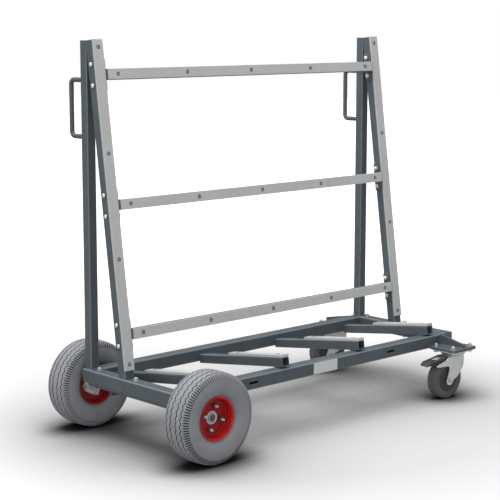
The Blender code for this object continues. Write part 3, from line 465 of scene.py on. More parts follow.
def loft(shape, rings, closed=False):
    """Skins rings of points in turn. Closed joins the last ring to the first, else caps close the ends."""
    made = [[shape.verts.new(point) for point in ring] for ring in rings]
    pairs = list(zip(made, made[1:]))
    if closed:
        pairs.append((made[-1], made[0]))
    else:
        shape.faces.new(made[0])
        shape.faces.new(made[-1])
    for low, high in pairs:
        for index in range(len(low)):
            after = (index + 1) % len(low)
            shape.faces.new((low[index], low[after], high[after], high[index]))


def sheet(shape, rows):
    """Skins rows of points as an open sheet."""
    made = [[shape.verts.new(point) for point in row] for row in rows]
    for low, high in zip(made, made[1:]):
        for index in range(len(low) - 1):
            shape.faces.new((low[index], low[index + 1], high[index + 1], high[index]))


def turned(shape, profile, sides, place, closed=False):
    """Turns a profile of radius and height pairs round the Z axis of a place."""
    rings = []
    for radius, height in profile:
        rings.append([place @ polar(angle, radius, height) for angle in full_turn(sides)])
    loft(shape, rings, closed)


def stacked(shape, place, outline, layers):
    """Skins an outline that has each layer's size at that layer's height."""
    rings = []
    for size, height in layers:
        rings.append([place @ Vector((a * size, b * size, height)) for a, b in outline])
    loft(shape, rings)


def mirrored(half):
    """A profile of radius and height pairs, followed by its mirror image."""
    return list(half) + [(radius, -height) for radius, height in reversed(half) if height]


def rounded(points, radius, steps):
    """Rounds each corner of a profile of pairs. The radius may be one number, or one for each point."""
    made = []
    for index, point in enumerate(points):
        here = Vector(point)
        back = Vector(points[index - 1]) - here
        ahead = Vector(points[(index + 1) % len(points)]) - here
        reach = min(of_point(radius, index), back.length * 0.49, ahead.length * 0.49)
        if reach <= 0.0:
            made.append(tuple(here))
            continue
        first = here + back.normalized() * reach
        last = here + ahead.normalized() * reach
        for step in range(steps + 1):
            share = step / steps
            made.append(tuple(first.lerp(here, share).lerp(here.lerp(last, share), share)))
    return made


def rectangle(x, y, radius, steps):
    """Outline of a rectangle with rounded corners, from its half sizes."""
    return rounded([(x, y), (-x, y), (-x, -y), (x, -y)], radius, steps)


def new_object(name, shape):
    """An object from a bmesh in world space."""
    mesh = bpy.data.meshes.new(name)
    shape.to_mesh(mesh)
    shape.free()
    made = bpy.data.objects.new(name, mesh)
    bpy.context.scene.collection.objects.link(made)
    return made


def piece(name, shape, material, body="frame_body", smooth=32.0, node=None):
    """A named piece that rides on a body, with its material."""
    bmesh.ops.recalc_face_normals(shape, faces=shape.faces)
    made = new_object(name, shape)
    made.data.materials.append(material)
    made.data.shade_smooth()
    made.data.set_sharp_from_angle(angle=math.radians(smooth))
    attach(made, body)
    if node:
        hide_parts(node)
    return made


def modified(made, kind, **settings):
    """Adds a modifier and turns the modified mesh into the object's own mesh."""
    modifier = made.modifiers.new("Shape", kind)
    for key, value in settings.items():
        setattr(modifier, key, value)
    graph = bpy.context.evaluated_depsgraph_get()
    mesh = bpy.data.meshes.new_from_object(made.evaluated_get(graph))
    made.modifiers.clear()
    made.data = mesh
    mesh.name = made.name


def bevelled(made, width, angle):
    limit = math.radians(angle)
    modified(made, "BEVEL", width=width, segments=2, limit_method="ANGLE", angle_limit=limit)


def tube_along(shape, points, radius, sides, closed=False):
    """A tube along points, without twist. The radius may be one number, or one for each point."""
    last = len(points) - 1
    rings = []
    first = None
    for index, point in enumerate(points):
        if closed:
            along = points[(index + 1) % len(points)] - points[index - 1]
        else:
            along = points[min(index + 1, last)] - points[max(index - 1, 0)]
        along = along.normalized()
        if first is None:
            first = Vector((0.0, 0.0, 1.0)) if abs(along.z) < 0.9 else Vector((1.0, 0.0, 0.0))
        first = (first - along * first.dot(along)).normalized()
        second = along.cross(first)
        size = of_point(radius, index)
        rings.append([
            point + (first * math.cos(angle) + second * math.sin(angle)) * size for angle in full_turn(sides)
        ])
    loft(shape, rings, closed)


# Fasteners
hexagon_points = 24
chamfer_slope = math.tan(math.radians(30.0))
thread_pitch = 0.00125
nut_turn = 0.4
washer_chamfer = 0.0003


def hexagon(shape, place, corner, height, low_chamfer=False):
    """A hexagon head or nut that stands on the place's XY plane, with its corners turned down."""
    flat = corner * math.cos(math.pi / 6)
    land = flat * 0.94
    outline = []
    for angle in full_turn(hexagon_points):
        outline.append((angle, flat / math.cos((angle % (math.pi / 3)) - math.pi / 6)))

    def ring(middle, slope):
        return [place @ polar(angle, reach, middle + (reach - land) * slope) for angle, reach in outline]

    def disc(middle):
        return [place @ polar(angle, land, middle) for angle, reach in outline]

    rings = [disc(0.0), ring(0.0, chamfer_slope)] if low_chamfer else [ring(0.0, 0.0)]
    loft(shape, rings + [ring(height, -chamfer_slope), disc(height)])


def nut_and_end(nuts, shape, place, radius, corner, nut, end):
    """A nut that stands on a place's XY plane, and the chamfered end of the thread that comes out of it."""
    hexagon(nuts, place @ Matrix.Rotation(nut_turn, 4, "Z"), corner, nut, low_chamfer=True)
    root = radius * 0.86
    height = nut * 0.4
    tip = nut + end
    profile = [(root, height)]
    while height + thread_pitch < tip - thread_pitch * 0.6:
        profile += [(radius, height + thread_pitch * 0.45), (root, height + thread_pitch)]
        height += thread_pitch
    profile += [(radius * 0.95, tip - thread_pitch * 0.6), (radius * 0.72, tip)]
    turned(shape, profile, 16, place)


def washer(shape, place, bore, outer, thickness):
    land = outer - washer_chamfer
    profile = [(bore, 0.0), (land, 0.0), (outer, washer_chamfer), (outer, thickness - washer_chamfer)]
    turned(shape, profile + [(land, thickness), (bore, thickness)], 24, place, closed=True)


def hexagon_bolt(shape, start, direction, grip, radius, corner, head, nut, end, nut_washer=0.0014, nuts=None):
    """A bolt through a grip, with its head behind the start and a nut and thread end past the grip. The nuts
    can go to a shape of their own."""
    place = facing(start, direction)
    hexagon(shape, place @ spun(180, "X"), corner, head)
    if nut_washer:
        washer(shape, place @ moved(0, 0, grip), radius, corner * 1.12, nut_washer)
    nut_and_end(nuts or shape, shape, place @ moved(0, 0, grip + nut_washer), radius, corner, nut, end)


ladder_head_radius = 0.0068
ladder_head = 0.0030
dome = (
    (0.97, 0.0), (1.0, 0.12), (0.985, 0.3), (0.93, 0.5), (0.82, 0.7), (0.66, 0.86), (0.46, 0.95), (0.2, 1.0),
)


def domed_bolt(shape, start, direction, grip, radius, corner, nut, end):
    """A bolt with a low domed head behind the start, and a nut and thread end past the grip."""
    place = facing(start, direction)
    profile = [(ladder_head_radius * size, ladder_head * height) for size, height in dome]
    turned(shape, profile, 40, place @ spun(180, "X"))
    nut_and_end(shape, shape, place @ moved(0, 0, grip), radius, corner, nut, end)


screw_head = 0.0045
screw_shank = 0.0021
screw_depth = 0.0025
recess_reach = 0.0021
recess_half = 0.00055
recess_layers = ((1.0, 0.00016), (0.8, -0.0009), (0.3, -0.0016))
cup_profile = ((0.0042, -0.0003), (0.0042, 0.0001), (0.0050, 0.0006), (0.0061, 0.0004), (0.0064, -0.0003))


def countersunk(shape, point, direction, length):
    """A countersunk screw with a cross recess. The direction points out of the surface."""
    place = facing(point, direction) @ Matrix.Rotation(random.uniform(0.0, math.pi / 2), 4, "Z")
    wide, narrow = recess_reach, recess_half
    arm = ((wide, 0.0), (wide, narrow), (narrow, narrow), (narrow, wide))
    cross = []
    for quarter in range(4):
        turn = Matrix.Rotation(quarter * math.pi / 2, 2)
        cross += [turn @ Vector(pair) for pair in arm]
    circles = (
        (screw_shank, -length), (screw_shank, -screw_depth), (screw_head, -0.0003),
        (screw_head - 0.0003, 0.0), (0.0034, 0.00012),
    )
    rings = []
    for size, height in circles:
        rings.append([place @ polar(math.atan2(b, a), size, height) for a, b in cross])
    for size, height in recess_layers:
        rings.append([place @ Vector((a * size, b * size, height)) for a, b in cross])
    loft(shape, rings)


def screw_row(start_of_name, end_of_name, points, direction, length=0.010):
    """Countersunk screws at points, each in a thin dark cup that is painted shade round the head."""
    screws = bmesh.new()
    cups = bmesh.new()
    for point in points:
        countersunk(screws, point, direction, length)
        # Each cup is dark: painted shade round the screw head.
        turned(cups, cup_profile, 32, facing(point, direction), closed=True)
    piece(start_of_name + "screws" + end_of_name, screws, screw_zinc)
    piece(start_of_name + "screw_shade_cups" + end_of_name, cups, painted_shade_steel)


# Welds, with the radii of their beads
bead_sides = 8
bead_step = 0.0022
ring_bead_step = 0.0009
thick_bead = 0.0022
post_bead = 0.0020
rib_bead = 0.0018
arm_bead = 0.0016
seam_bead = 0.0014
low_bead = 0.0013


def bead(shape, start, end, radius):
    """A weld bead between two points, with the ripple of its passes."""
    count = max(4, int((end - start).length / bead_step) * 3)
    points = []
    sizes = []
    for index in range(count + 1):
        share = index / count
        ripple = abs(math.sin(math.pi * index / 3))
        wander = random.uniform(-0.08, 0.08)
        points.append(start.lerp(end, share))
        taper = min(1.0, 0.45 + 6.0 * min(share, 1.0 - share))
        sizes.append(radius * (0.86 + 0.18 * ripple + wander) * taper)
    tube_along(shape, points, sizes, bead_sides)


def ring_bead(shape, place, around, radius):
    """A weld bead round the end of a rod or tube."""
    points = []
    sizes = []
    for index, angle in enumerate(full_turn(max(24, int(around * 2 * math.pi / ring_bead_step)))):
        points.append(place @ polar(angle, around))
        sizes.append(radius * (0.86 + 0.2 * abs(math.sin(index * math.pi / 3)) + random.uniform(-0.07, 0.07)))
    tube_along(shape, points, sizes, bead_sides, closed=True)


random.seed(11)

# Screws of the wear strips and pads
screw_sink = 0.00025
strip_screw_from_top = 0.022
strip_screw_spacing = 0.301
bar_screw_from_leg = 0.041
pad_screw_from_end = 0.030
pad_screw_length = 0.014
upright_places = {"left": upright_x, "right": frame_length - upright_x}
leg_frames = {side: leaning(x) for side, x in upright_places.items()}
for side, place in leg_frames.items():
    points = []
    for index in range(4):
        along = leg_length - strip_screw_from_top - strip_screw_spacing * index
        points.append(place @ Vector((0.0, screw_sink, along)))
    screw_row(side + "_leg_strip_", "", points, place.to_3x3() @ Vector((0.0, -1.0, 0.0)))

crossbars = {}
for index, name in enumerate(("lower", "middle", "upper")):
    crossbars[name] = (lowest_crossbar + index * crossbar_spacing - rail_top) / math.cos(lean)
ladder_frame = leaning(frame_length / 2)
first_bar_screw = frame_length / 2 - leg_inset - leg_width - bar_screw_from_leg
for name, along in crossbars.items():
    points = []
    for index in range(5):
        x = first_bar_screw / 2 * index - first_bar_screw
        points.append(ladder_frame @ Vector((x, screw_sink - crossbar_strip_thickness, along)))
    screw_row(name + "_crossbar_", "", points, ladder_frame.to_3x3() @ Vector((0.0, -1.0, 0.0)))

pad_top = arm_size + seat_gap + pad_thickness
for index in range(4):
    place = arm_frame(index)
    points = []
    for y in (arm_front + pad_screw_from_end, arm_front + pad_length - pad_screw_from_end):
        points.append(place @ Vector((0.0, y, pad_top - screw_sink)))
    outward = place.to_3x3() @ Vector((0.0, 0.0, 1.0))
    screw_row("arm_pad_", "_" + str(index + 1), points, outward, pad_screw_length)

# Bolts that hold the crossbars' flanges to the legs
bolt_radius = 0.004
bolt_corner = 0.0075
shade_ring_thickness = 0.0006
for side, way in (("left", -1), ("right", 1)):
    shape = bmesh.new()
    rings = bmesh.new()
    inward = (-way, 0.0, 0.0)
    grip = leg_width + flange_thickness + seat_gap + shade_ring_thickness
    for along in crossbars.values():
        for offset in (-flange_bolt_offset, flange_bolt_offset):
            seat = Vector((way * (leg_width / 2 + shade_ring_thickness), leg_centre, along + offset))
            start = leg_frames[side] @ seat
            domed_bolt(shape, start, inward, grip, bolt_radius, bolt_corner, nut=0.0065, end=0.003)
            # A thin dark ring under each head: painted shade.
            washer(rings, facing(start, inward), 0.0042, 0.0088, shade_ring_thickness)
    piece(side + "_ladder_bolts", shape, ladder_zinc)
    piece(side + "_ladder_bolt_shade_rings", rings, painted_shade_steel)

# Bolts through the end rails. At the wheel end they go through the axle's carrier too
carrier_drop = 0.0063
rail_bolt_places = (0.1875, 0.3575)
rail_ends = (("wheel_end", rail_size / 2, carrier_drop), ("caster_end", frame_length - rail_size / 2, 0.0))
for name, x, below in rail_ends:
    shape = bmesh.new()
    for y in rail_bolt_places:
        hexagon_bolt(
            shape, at(x, y, rail_bottom - below), (0, 0, 1), rail_size + below, bolt_radius, bolt_corner,
            head=0.0053, nut=0.0060, end=0.0025,
        )
    piece(name + "_rail_bolts", shape, bright_zinc)

# Plugs in the tops of the posts and legs
plug_gap = 0.0002
plug_corner = 0.0012
plug_depth = 0.012
for side, x in upright_places.items():
    shape = bmesh.new()
    post_head = Matrix.Translation(at(x, (post_front + post_back) / 2, upright_top))
    leg_head = leg_frames[side] @ moved(0.0, leg_centre, leg_length)
    for place, width, depth, wall, crown in (
        (post_head, post_width, post_depth, post_wall, 0.93),
        (leg_head, leg_width, leg_depth, leg_wall, 0.94),
    ):
        inset = wall + plug_gap
        outline = rectangle(width / 2 - inset, depth / 2 - inset, plug_corner, 3)
        stacked(shape, place, outline, ((1.0, -plug_depth), (1.0, -0.0012), (crown, -0.0004)))
    piece(side + "_upright_plugs", shape, cap_plastic)

# Round rod handles with the welds at their ends
bend_steps = 12
weld_lift = 0.0008
for side, x in upright_places.items():
    start = post_back + seat_gap
    bend_y = post_back + handle_reach - handle_bend
    path = [at(x, start, handle_low)]
    for bend_z, first_angle in ((handle_low + handle_bend, -90), (handle_high - handle_bend, 0)):
        for step in range(bend_steps + 1):
            angle = math.radians(first_angle + 90 * step / bend_steps)
            y = bend_y + handle_bend * math.cos(angle)
            path.append(at(x, y, bend_z + handle_bend * math.sin(angle)))
    path.append(at(x, start, handle_high))
    shape = bmesh.new()
    tube_along(shape, path, handle_rod, 32)
    piece(side + "_handle_rod", shape, rod_paint, node=side + "_handle")
    shape = bmesh.new()
    for height in (handle_low, handle_high):
        place = facing(at(x, post_back + weld_lift, height), (0, 1, 0))
        ring_bead(shape, place, handle_rod + weld_lift, thick_bead)
    piece(side + "_handle_welds", shape, weld_paint)


# Weld beads of the uprights, the frame's corners, the arms and the outriggers
def leg_foot(side, edge, deep):
    """A point where a leg meets the rails' top."""
    return leg_frames[side] @ Vector((edge, deep, deep * math.tan(lean)))


for side, x in upright_places.items():
    shape = bmesh.new()
    edges = (x - post_width / 2, x + post_width / 2)
    for y in (post_front, post_back):
        bead(shape, at(edges[0], y, rail_top), at(edges[1], y, rail_top), post_bead)
    for edge in edges:
        bead(shape, at(edge, post_front, rail_top), at(edge, post_back, rail_top), post_bead)
    for edge in (0.001 - leg_width / 2, leg_width / 2 - 0.001):
        bead(shape, leg_foot(side, edge, leg_tube_start), leg_foot(side, edge, leg_total), rib_bead)
    back_edge = leg_foot(side, -leg_width / 2, leg_total)
    bead(shape, back_edge, leg_foot(side, leg_width / 2, leg_total), post_bead)
    for edge in edges:
        high = at(edge, post_front, upright_top - 0.002)
        bead(shape, high, at(edge, post_front - 0.0005, upright_top - 0.015), seam_bead)
    piece(side + "_upright_welds", shape, weld_paint)

shape = bmesh.new()
far_rail = frame_width - rail_size
for x in (rail_size, frame_length - rail_size):
    for y in (rail_size, far_rail):
        bead(shape, at(x, y, rail_bottom + 0.002), at(x, y, rail_top - 0.002), thick_bead)
    for near, far in ((0.003, rail_size), (far_rail, frame_width - 0.003)):
        bead(shape, at(x, near, rail_bottom), at(x, far, rail_bottom), low_bead)
piece("base_frame_welds", shape, weld_paint)

shape = bmesh.new()
arm_end = rail_top - (far_rail - rail_size) * math.tan(lean)
for index in range(4):
    place = arm_frame(index)
    for edge in (-arm_size / 2, arm_size / 2):
        bead(shape, place @ Vector((edge, -0.030, 0.0)), place @ Vector((edge, -0.002, 0.0)), arm_bead)
        x = first_arm + index * arm_spacing + edge
        low = at(x, far_rail, max(arm_end, rail_bottom + 0.004))
        bead(shape, low, at(x, far_rail, arm_end + arm_size / math.cos(lean)), rib_bead)
piece("support_arm_welds", shape, weld_paint)

# Outriggers' welds and the castors' fixing bolts
outrigger_top = rail_bottom + outrigger_thickness
outrigger_half = 0.055
rib_half = 0.003
plate_bolt_x = 0.042
plate_bolt_y = 0.035
for name, side, face_y in (("front", -1, 0.0), ("back", 1, frame_width)):
    shape = bmesh.new()
    left = at(caster_x - outrigger_half, face_y, outrigger_top)
    bead(shape, left, at(caster_x + outrigger_half, face_y, outrigger_top), thick_bead)
    for edge in (caster_x - rib_half, caster_x + rib_half):
        low = at(edge, face_y, outrigger_top)
        bead(shape, low, at(edge, face_y, rail_top - 0.003), rib_bead)
        bead(shape, low, at(edge, face_y + side * (outrigger_reach - 0.006), outrigger_top), rib_bead)
    piece(name + "_outrigger_welds", shape, weld_paint)
    shape = bmesh.new()
    swivel_y = face_y + side * caster_from_side
    for x in (caster_x - plate_bolt_x, caster_x + plate_bolt_x):
        for y in (swivel_y - plate_bolt_y, swivel_y + plate_bolt_y):
            hexagon_bolt(
                shape, at(x, y, mount_bottom), (0, 0, 1), outrigger_top - mount_bottom, bolt_radius,
                bolt_corner, head=0.0055, nut=0.0065, end=0.004,
            )
    piece(name + "_castor_plate_bolts", shape, bright_zinc)

# Axle, its retaining rings and the welds of its saddles
hub_from_middle = frame_width / 2 + wheel_stand_off
hub_inner_end = 0.0400
hub_outer_end = 0.0133
side_play = 0.0006
axle_half = frame_width / 2 + 0.080
shoulder = hub_from_middle - hub_inner_end - side_play
journal = 0.010
ring_thickness = 0.0014
ring_gap = math.radians(22.0)
ring_steps = 44
shape = bmesh.new()
profile = mirrored([
    (0.0030, 0.0025 - axle_half), (0.0042, -axle_half), (journal - 0.0014, -axle_half),
    (journal, 0.0014 - axle_half), (journal, -shoulder - 0.0004), (0.0108, -shoulder),
    (0.0115, 0.0008 - shoulder),
])
turned(shape, profile, 40, facing(at(axle_from_end, middle_y, wheel_radius), (0, 1, 0)))
piece("axle_rod", shape, rod_paint, node="axle")

angles = []
for index in range(ring_steps + 1):
    angles.append(ring_gap - math.pi / 2 + 2 * (math.pi - ring_gap) * index / ring_steps)
outline = [(angle, journal + 0.0003) for angle in angles]
for index, angle in reversed(list(enumerate(angles))):
    lug = 0.0012 if min(index, ring_steps - index) <= 2 else 0.0
    outline.append((angle, journal + 0.0034 + lug))
for name, way in (("front", -1), ("back", 1)):
    near = middle_y + way * (hub_from_middle + hub_outer_end + side_play)
    shape = bmesh.new()
    rings = []
    for y in (near, near + way * ring_thickness):
        centre = at(axle_from_end, y, wheel_radius)
        rings.append([centre + Vector((r * math.cos(a), 0.0, r * math.sin(a))) for a, r in outline])
    loft(shape, rings)
    piece(name + "_retaining_ring", shape, bright_zinc, node=name + "_axle_ring")

shape = bmesh.new()
saddle_y = frame_width / 2 - 0.060
saddle_half = 0.017
saddle_half_thickness = 0.006
saddle_top = rail_bottom - 0.0065
for y in (middle_y - saddle_y, middle_y + saddle_y):
    for edge in (y - saddle_half_thickness, y + saddle_half_thickness):
        left = at(axle_from_end - saddle_half, edge, saddle_top)
        bead(shape, left, at(axle_from_end + saddle_half, edge, saddle_top), post_bead)
piece("axle_saddle_welds", shape, weld_paint)

# Big wheels. In a wheel's own frame Z points out from the buggy
sipe_count = 105
wave_count = 42
sipe_steps = (0.0, 0.30, 0.50, 0.57, 0.75, 0.94)
first_sunk = 3
sipe_depth = 0.0036
groove_places = (-0.0285, -0.0108, 0.0108, 0.0285)
groove_half = 0.0016
groove_floor_half = groove_half * 0.55
groove_depth = 0.0040
zigzag = 0.0026
crown_edge = 0.0352


def crown_radius(across):
    """Radius of the tread's surface at a distance from the wheel's middle plane."""
    return wheel_radius - 0.0028 * (abs(across) / 0.0365) ** 2.6


# Half of the tyre's section outside the crown: place across it, radius, and the share of a sipe's depth
side_profile = (
    (crown_edge, crown_radius(crown_edge) - 0.0002, 0.0), (0.0382, 0.1258, 1.0), (0.0395, 0.1245, 1.0),
    (0.0405, 0.1236, 1.0), (0.0430, 0.1205, 1.0), (0.0449, 0.1168, 1.0), (0.0460, 0.1138, 1.0),
    (0.0464, 0.1112, 0.0), (0.0472, 0.1060, 0.0), (0.0477, 0.0985, 0.0), (0.0475, 0.0900, 0.0),
    (0.0464, 0.0825, 0.0), (0.0445, 0.0762, 0.0), (0.0418, 0.0712, 0.0), (0.0385, 0.0680, 0.0),
    (0.0356, 0.0664, 0.0), (0.0330, 0.0654, 0.0), (0.0319, 0.0640, 0.0), (0.0317, 0.0600, 0.0),
)

# Rows of the tyre's faces that lie in a groove or a sipe, which get the dark rubber of painted shade
outer_rows = len(side_profile)
crown_rows = 4 * len(groove_places) + 1
far_rows = outer_rows + crown_rows
sipe_rows = {*range(outer_rows - 7, outer_rows - 2), *range(far_rows + 1, far_rows + 6)}
groove_rows = set()
for groove in range(len(groove_places)):
    first_row = outer_rows + 4 * groove + (1 if groove >= len(groove_places) / 2 else 0)
    groove_rows.update((first_row, first_row + 1, first_row + 2))


def tread_ring(turn, sunk):
    """Section of the tyre at one angle, as places across it and radii, from the inner bead to the outer."""
    phase = (turn * wave_count) % 1.0
    shift = zigzag * (1.0 - 2.0 * abs(2.0 * phase - 1.0))
    crown = []
    for place in groove_places:
        middle = place + shift
        floor = crown_radius(middle) - groove_depth
        crown += [
            (middle - groove_half, crown_radius(middle - groove_half)), (middle - groove_floor_half, floor),
            (middle + groove_floor_half, floor), (middle + groove_half, crown_radius(middle + groove_half)),
        ]
    crown.insert(len(crown) // 2, (0.0, crown_radius(0.0)))
    side = []
    for across, radius, share in side_profile:
        side.append((across - sunk * share * 0.55, radius - sunk * share * 0.8))
    return [(-across, radius) for across, radius in reversed(side)] + crown + side


def make_tyre(name, place, body, node):
    shape = bmesh.new()
    rings = []
    for index in range(sipe_count):
        for step, share in enumerate(sipe_steps):
            turn = (index + share) / sipe_count
            section = tread_ring(turn, sipe_depth if step >= first_sunk else 0.0)
            rings.append([place @ polar(2 * math.pi * turn, radius, across) for across, radius in section])
    loft(shape, rings, closed=True)
    # Faces in the grooves and in the sunk part of each sipe get the dark rubber, as painted shade.
    for index, face in enumerate(shape.faces):
        step, row = divmod(index, len(rings[0]))
        in_sipe = row in sipe_rows and step % len(sipe_steps) >= first_sunk
        face.material_index = 1 if in_sipe or row in groove_rows else 0
    made = piece(name, shape, tyre_rubber, body, smooth=30.0, node=node)
    made.data.materials.append(groove_shade_rubber)


rim_half = 0.0348
disc_face = 0.0125
rim_bolt_circle = 0.0335
rim_bolt_turn = 73.5
flange_near = -disc_face - 0.0003
flange_far = flange_near - 0.0050
flange_chamfer = 0.0006
flange_past_bolt = 0.0085
flange_corner = 0.013
hub_weld_radius = 0.0195
rim_profile = (
    (0.0198, disc_face - 0.0022), (0.0530, disc_face - 0.0022), (0.0563, disc_face - 0.0046),
    (0.0563, 0.00015), (0.0588, 0.00015), (0.0588, rim_half - 0.0058), (0.0600, rim_half - 0.0028),
    (0.0622, rim_half - 0.0024), (0.0630, rim_half - 0.0012), (0.0622, rim_half), (0.0592, rim_half),
    (0.0568, rim_half - 0.0016), (0.0558, rim_half - 0.0050), (0.0558, 0.0232), (0.0541, 0.0216),
    (0.0541, disc_face + 0.0035), (0.0508, disc_face), (0.0262, disc_face), (0.0246, disc_face + 0.0006),
    (0.0198, disc_face + 0.0006),
)
rim_radii = (
    0, 0.001, 0.0025, 0, 0, 0.002, 0.001, 0.0006, 0.0006, 0.0009, 0.0014, 0.0016, 0.0015, 0.001, 0.001,
    0.0026, 0.0022, 0.0006, 0.0006, 0,
)
grommet_from_axle = 0.047
grommet_profile = ((0.0042, -0.001), (0.0042, 0.0012), (0.0034, 0.002), (0.0010, 0.0022))
bearing_ends = ((-0.0398, -0.0280), (0.0013, 0.0131))
hub_profile = (
    (0.0153, -hub_inner_end), (0.0180, -hub_inner_end), (0.0190, 0.0008 - hub_inner_end), (0.0190, 0.0125),
    (0.0180, hub_outer_end), (0.0160, hub_outer_end), (0.0153, 0.0126),
)


def make_rim(name, place, way, body, node):
    """One half of the rim. Way is 1 for the outer half and -1 for the inner."""
    profile = [(radius, way * height) for radius, height in rounded(rim_profile, rim_radii, 4)]
    shape = bmesh.new()
    turned(shape, profile, 96, place, closed=True)
    piece(name, shape, rim_paint, body, smooth=34.0, node=node)


def make_hub(name, place, body, node):
    """The hub tube and its four-cornered flange on the inner side of the rim."""
    shape = bmesh.new()
    turned(shape, hub_profile, 64, place, closed=True)
    corner = rim_bolt_circle / math.sqrt(2) + flange_past_bolt
    spin = place @ spun(rim_bolt_turn - 45, "Z")
    stacked(shape, spin, rectangle(corner, corner, flange_corner, 8), (
        (0.985, flange_near), (1.0, flange_near - flange_chamfer), (1.0, flange_far + flange_chamfer),
        (0.985, flange_far),
    ))
    ring_bead(shape, place @ moved(0, 0, flange_far - 0.0002), hub_weld_radius, thick_bead)
    piece(name, shape, zinc, body, node=node)


def band(shape, place, inner, outer, low, high, radius):
    """A ring with a rectangular section."""
    section = rounded([(inner, low), (outer, low), (outer, high), (inner, high)], radius, 2)
    turned(shape, section, 48, place, closed=True)


def make_bearing(name, place, body, node):
    """Ball bearings at both ends of the hub: outer ring, inner ring and sunk seal."""
    shape = bmesh.new()
    seals = bmesh.new()
    for low, high in bearing_ends:
        band(shape, place, 0.0131, 0.0150, low + 0.0004, high - 0.0004, 0.0005)
        band(shape, place, 0.0106, 0.0120, low, high, 0.0004)
        band(seals, place, 0.0119, 0.0132, low + 0.0007, high - 0.0007, 0.0003)
    piece(name, shape, bright_zinc, body, node=node)
    piece(name + "_seals", seals, seal_rubber, body)


def make_big_wheel(name, side, y):
    place = Matrix.Translation(at(axle_from_end, y, wheel_radius)) @ spun(-90 * side, "X")
    body = name + "_body"
    make_tyre(name + "_treaded_tyre", place, body, name + "_tyre")
    make_rim(name + "_outer_rim_half", place, 1, body, name + "_outer_rim")
    make_rim(name + "_inner_rim_half", place, -1, body, name + "_inner_rim")
    make_hub(name + "_flanged_hub", place, body, name + "_hub")
    make_bearing(name + "_ball_bearings", place, body, name + "_bearing")
    shape = bmesh.new()
    nuts = bmesh.new()
    for quarter in range(4):
        angle = math.radians(rim_bolt_turn + 90 * quarter)
        hexagon_bolt(
            shape, place @ polar(angle, rim_bolt_circle, flange_far), place.to_3x3() @ Vector((0, 0, 1)),
            disc_face - flange_far, bolt_radius, bolt_corner, head=0.0053, nut=0.0065, end=0.0075,
            nut_washer=0.0, nuts=nuts,
        )
    piece(name + "_rim_bolts", shape, bright_zinc, body)
    # The nuts' dark zinc is painted shade.
    piece(name + "_rim_nuts", nuts, rim_nut_shade_zinc, body)
    shape = bmesh.new()
    spot = place @ spun(rim_bolt_turn + 45, "Z") @ moved(grommet_from_axle, 0, disc_face)
    turned(shape, grommet_profile, 20, spot)
    piece(name + "_disc_grommet", shape, seal_rubber, body)


make_big_wheel("front_wheel", -1, -wheel_stand_off)
make_big_wheel("back_wheel", 1, frame_width + wheel_stand_off)

# Castors
raceway_profile = (
    (0.0435, mount_bottom + 0.001), (0.0415, mount_bottom - 0.0035), (0.0410, mount_bottom - 0.0060),
    (0.0365, crown_top + 0.0008), (0.0065, crown_top + 0.0008),
)
kingpin_profile = (
    (0.0063, crown_top), (0.0063, 0.1299), (0.0110, 0.1299), (0.0110, 0.1272), (0.0095, 0.1259),
)
plate_half_x = 0.053
plate_half_y = 0.046
plate_corner = 0.009
plate_chamfer = 0.0006


def make_mount(name, place, node):
    """The castor's fixing plate with its pressed raceway and kingpin."""
    shape = bmesh.new()
    stacked(shape, place, rectangle(plate_half_x, plate_half_y, plate_corner, 8), (
        (0.99, mount_top), (1.0, mount_top - plate_chamfer), (1.0, mount_bottom + plate_chamfer),
        (0.99, mount_bottom),
    ))
    turned(shape, rounded(raceway_profile, (0, 0.002, 0.003, 0.002, 0), 5), 72, place)
    turned(shape, kingpin_profile, 32, place)
    piece(name, shape, zinc, node=node)


# How far the fork's side plate reaches from the swivel axis at each height, ahead of it and behind it
reach_ahead = (
    (0.044, 0.0235), (0.0585, 0.0230), (0.0620, 0.0165), (0.066, 0.0085), (0.072, 0.0010),
    (0.0785, -0.0048), (0.084, -0.0095), (0.0885, -0.0136), (0.0925, -0.0170), (0.0985, -0.0217),
    (0.105, -0.0236), (0.1115, -0.0246), (crown_top, -0.0247),
)
reach_behind = (
    (0.044, 0.0525), (0.0585, 0.0525), (0.0625, 0.0502), (0.0695, 0.0480), (0.077, 0.0453), (0.085, 0.0430),
    (0.0915, 0.0409), (0.098, 0.0397), (0.1015, 0.0400), (0.105, 0.0424), (0.1075, 0.0466),
    (0.1088, 0.0540), (0.1092, 0.0810), (0.1096, 0.0905), (0.1102, 0.0950), (0.1120, 0.0972),
    (0.1145, 0.0980), (0.1160, 0.0945), (0.1200, 0.0818), (0.1240, 0.0686), (0.1275, 0.0572),
    (0.1290, 0.0530), (0.1320, 0.0508), (crown_top, 0.0500),
)
fork_heights = (
    0.0442, 0.0448, 0.0458, 0.0475, 0.0500, 0.0540, 0.0585, 0.0620, 0.0660, 0.0720, 0.0785, 0.0850, 0.0885,
    0.0925, 0.0985, 0.1015, 0.1050, 0.1075, 0.1088, 0.1092, 0.1096, 0.1102, 0.1120, 0.1145, 0.1160, 0.1200,
    0.1240, 0.1275, 0.1290, 0.1305, 0.1318,
)
axle_eye = 0.0585
axle_eye_radius = 0.0145
crown_disc = 0.0365
crown_bend = 0.0065
bend_rows = 6
fork_columns = 22


def read(table, height):
    """Value of a table of heights and values at a height."""
    for (low, first), (high, second) in zip(table, table[1:]):
        if height <= high:
            return first + (second - first) * max(0.0, (height - low) / (high - low))
    return table[-1][1]


def side_reach(height):
    start = read(reach_ahead, height)
    end = read(reach_behind, height)
    drop = axle_eye - height
    if drop > 0.0:
        half = math.sqrt(max(0.0, axle_eye_radius ** 2 - drop ** 2))
        start = max(start, caster_trail - half)
        end = min(end, caster_trail + half)
    return start, end


def outward_is_wrong(made, centre):
    """Whether an open sheet's faces look at its inside."""
    total = 0.0
    for polygon in made.data.polygons:
        total += polygon.normal.dot(polygon.center - centre) * polygon.area
    return total < 0.0


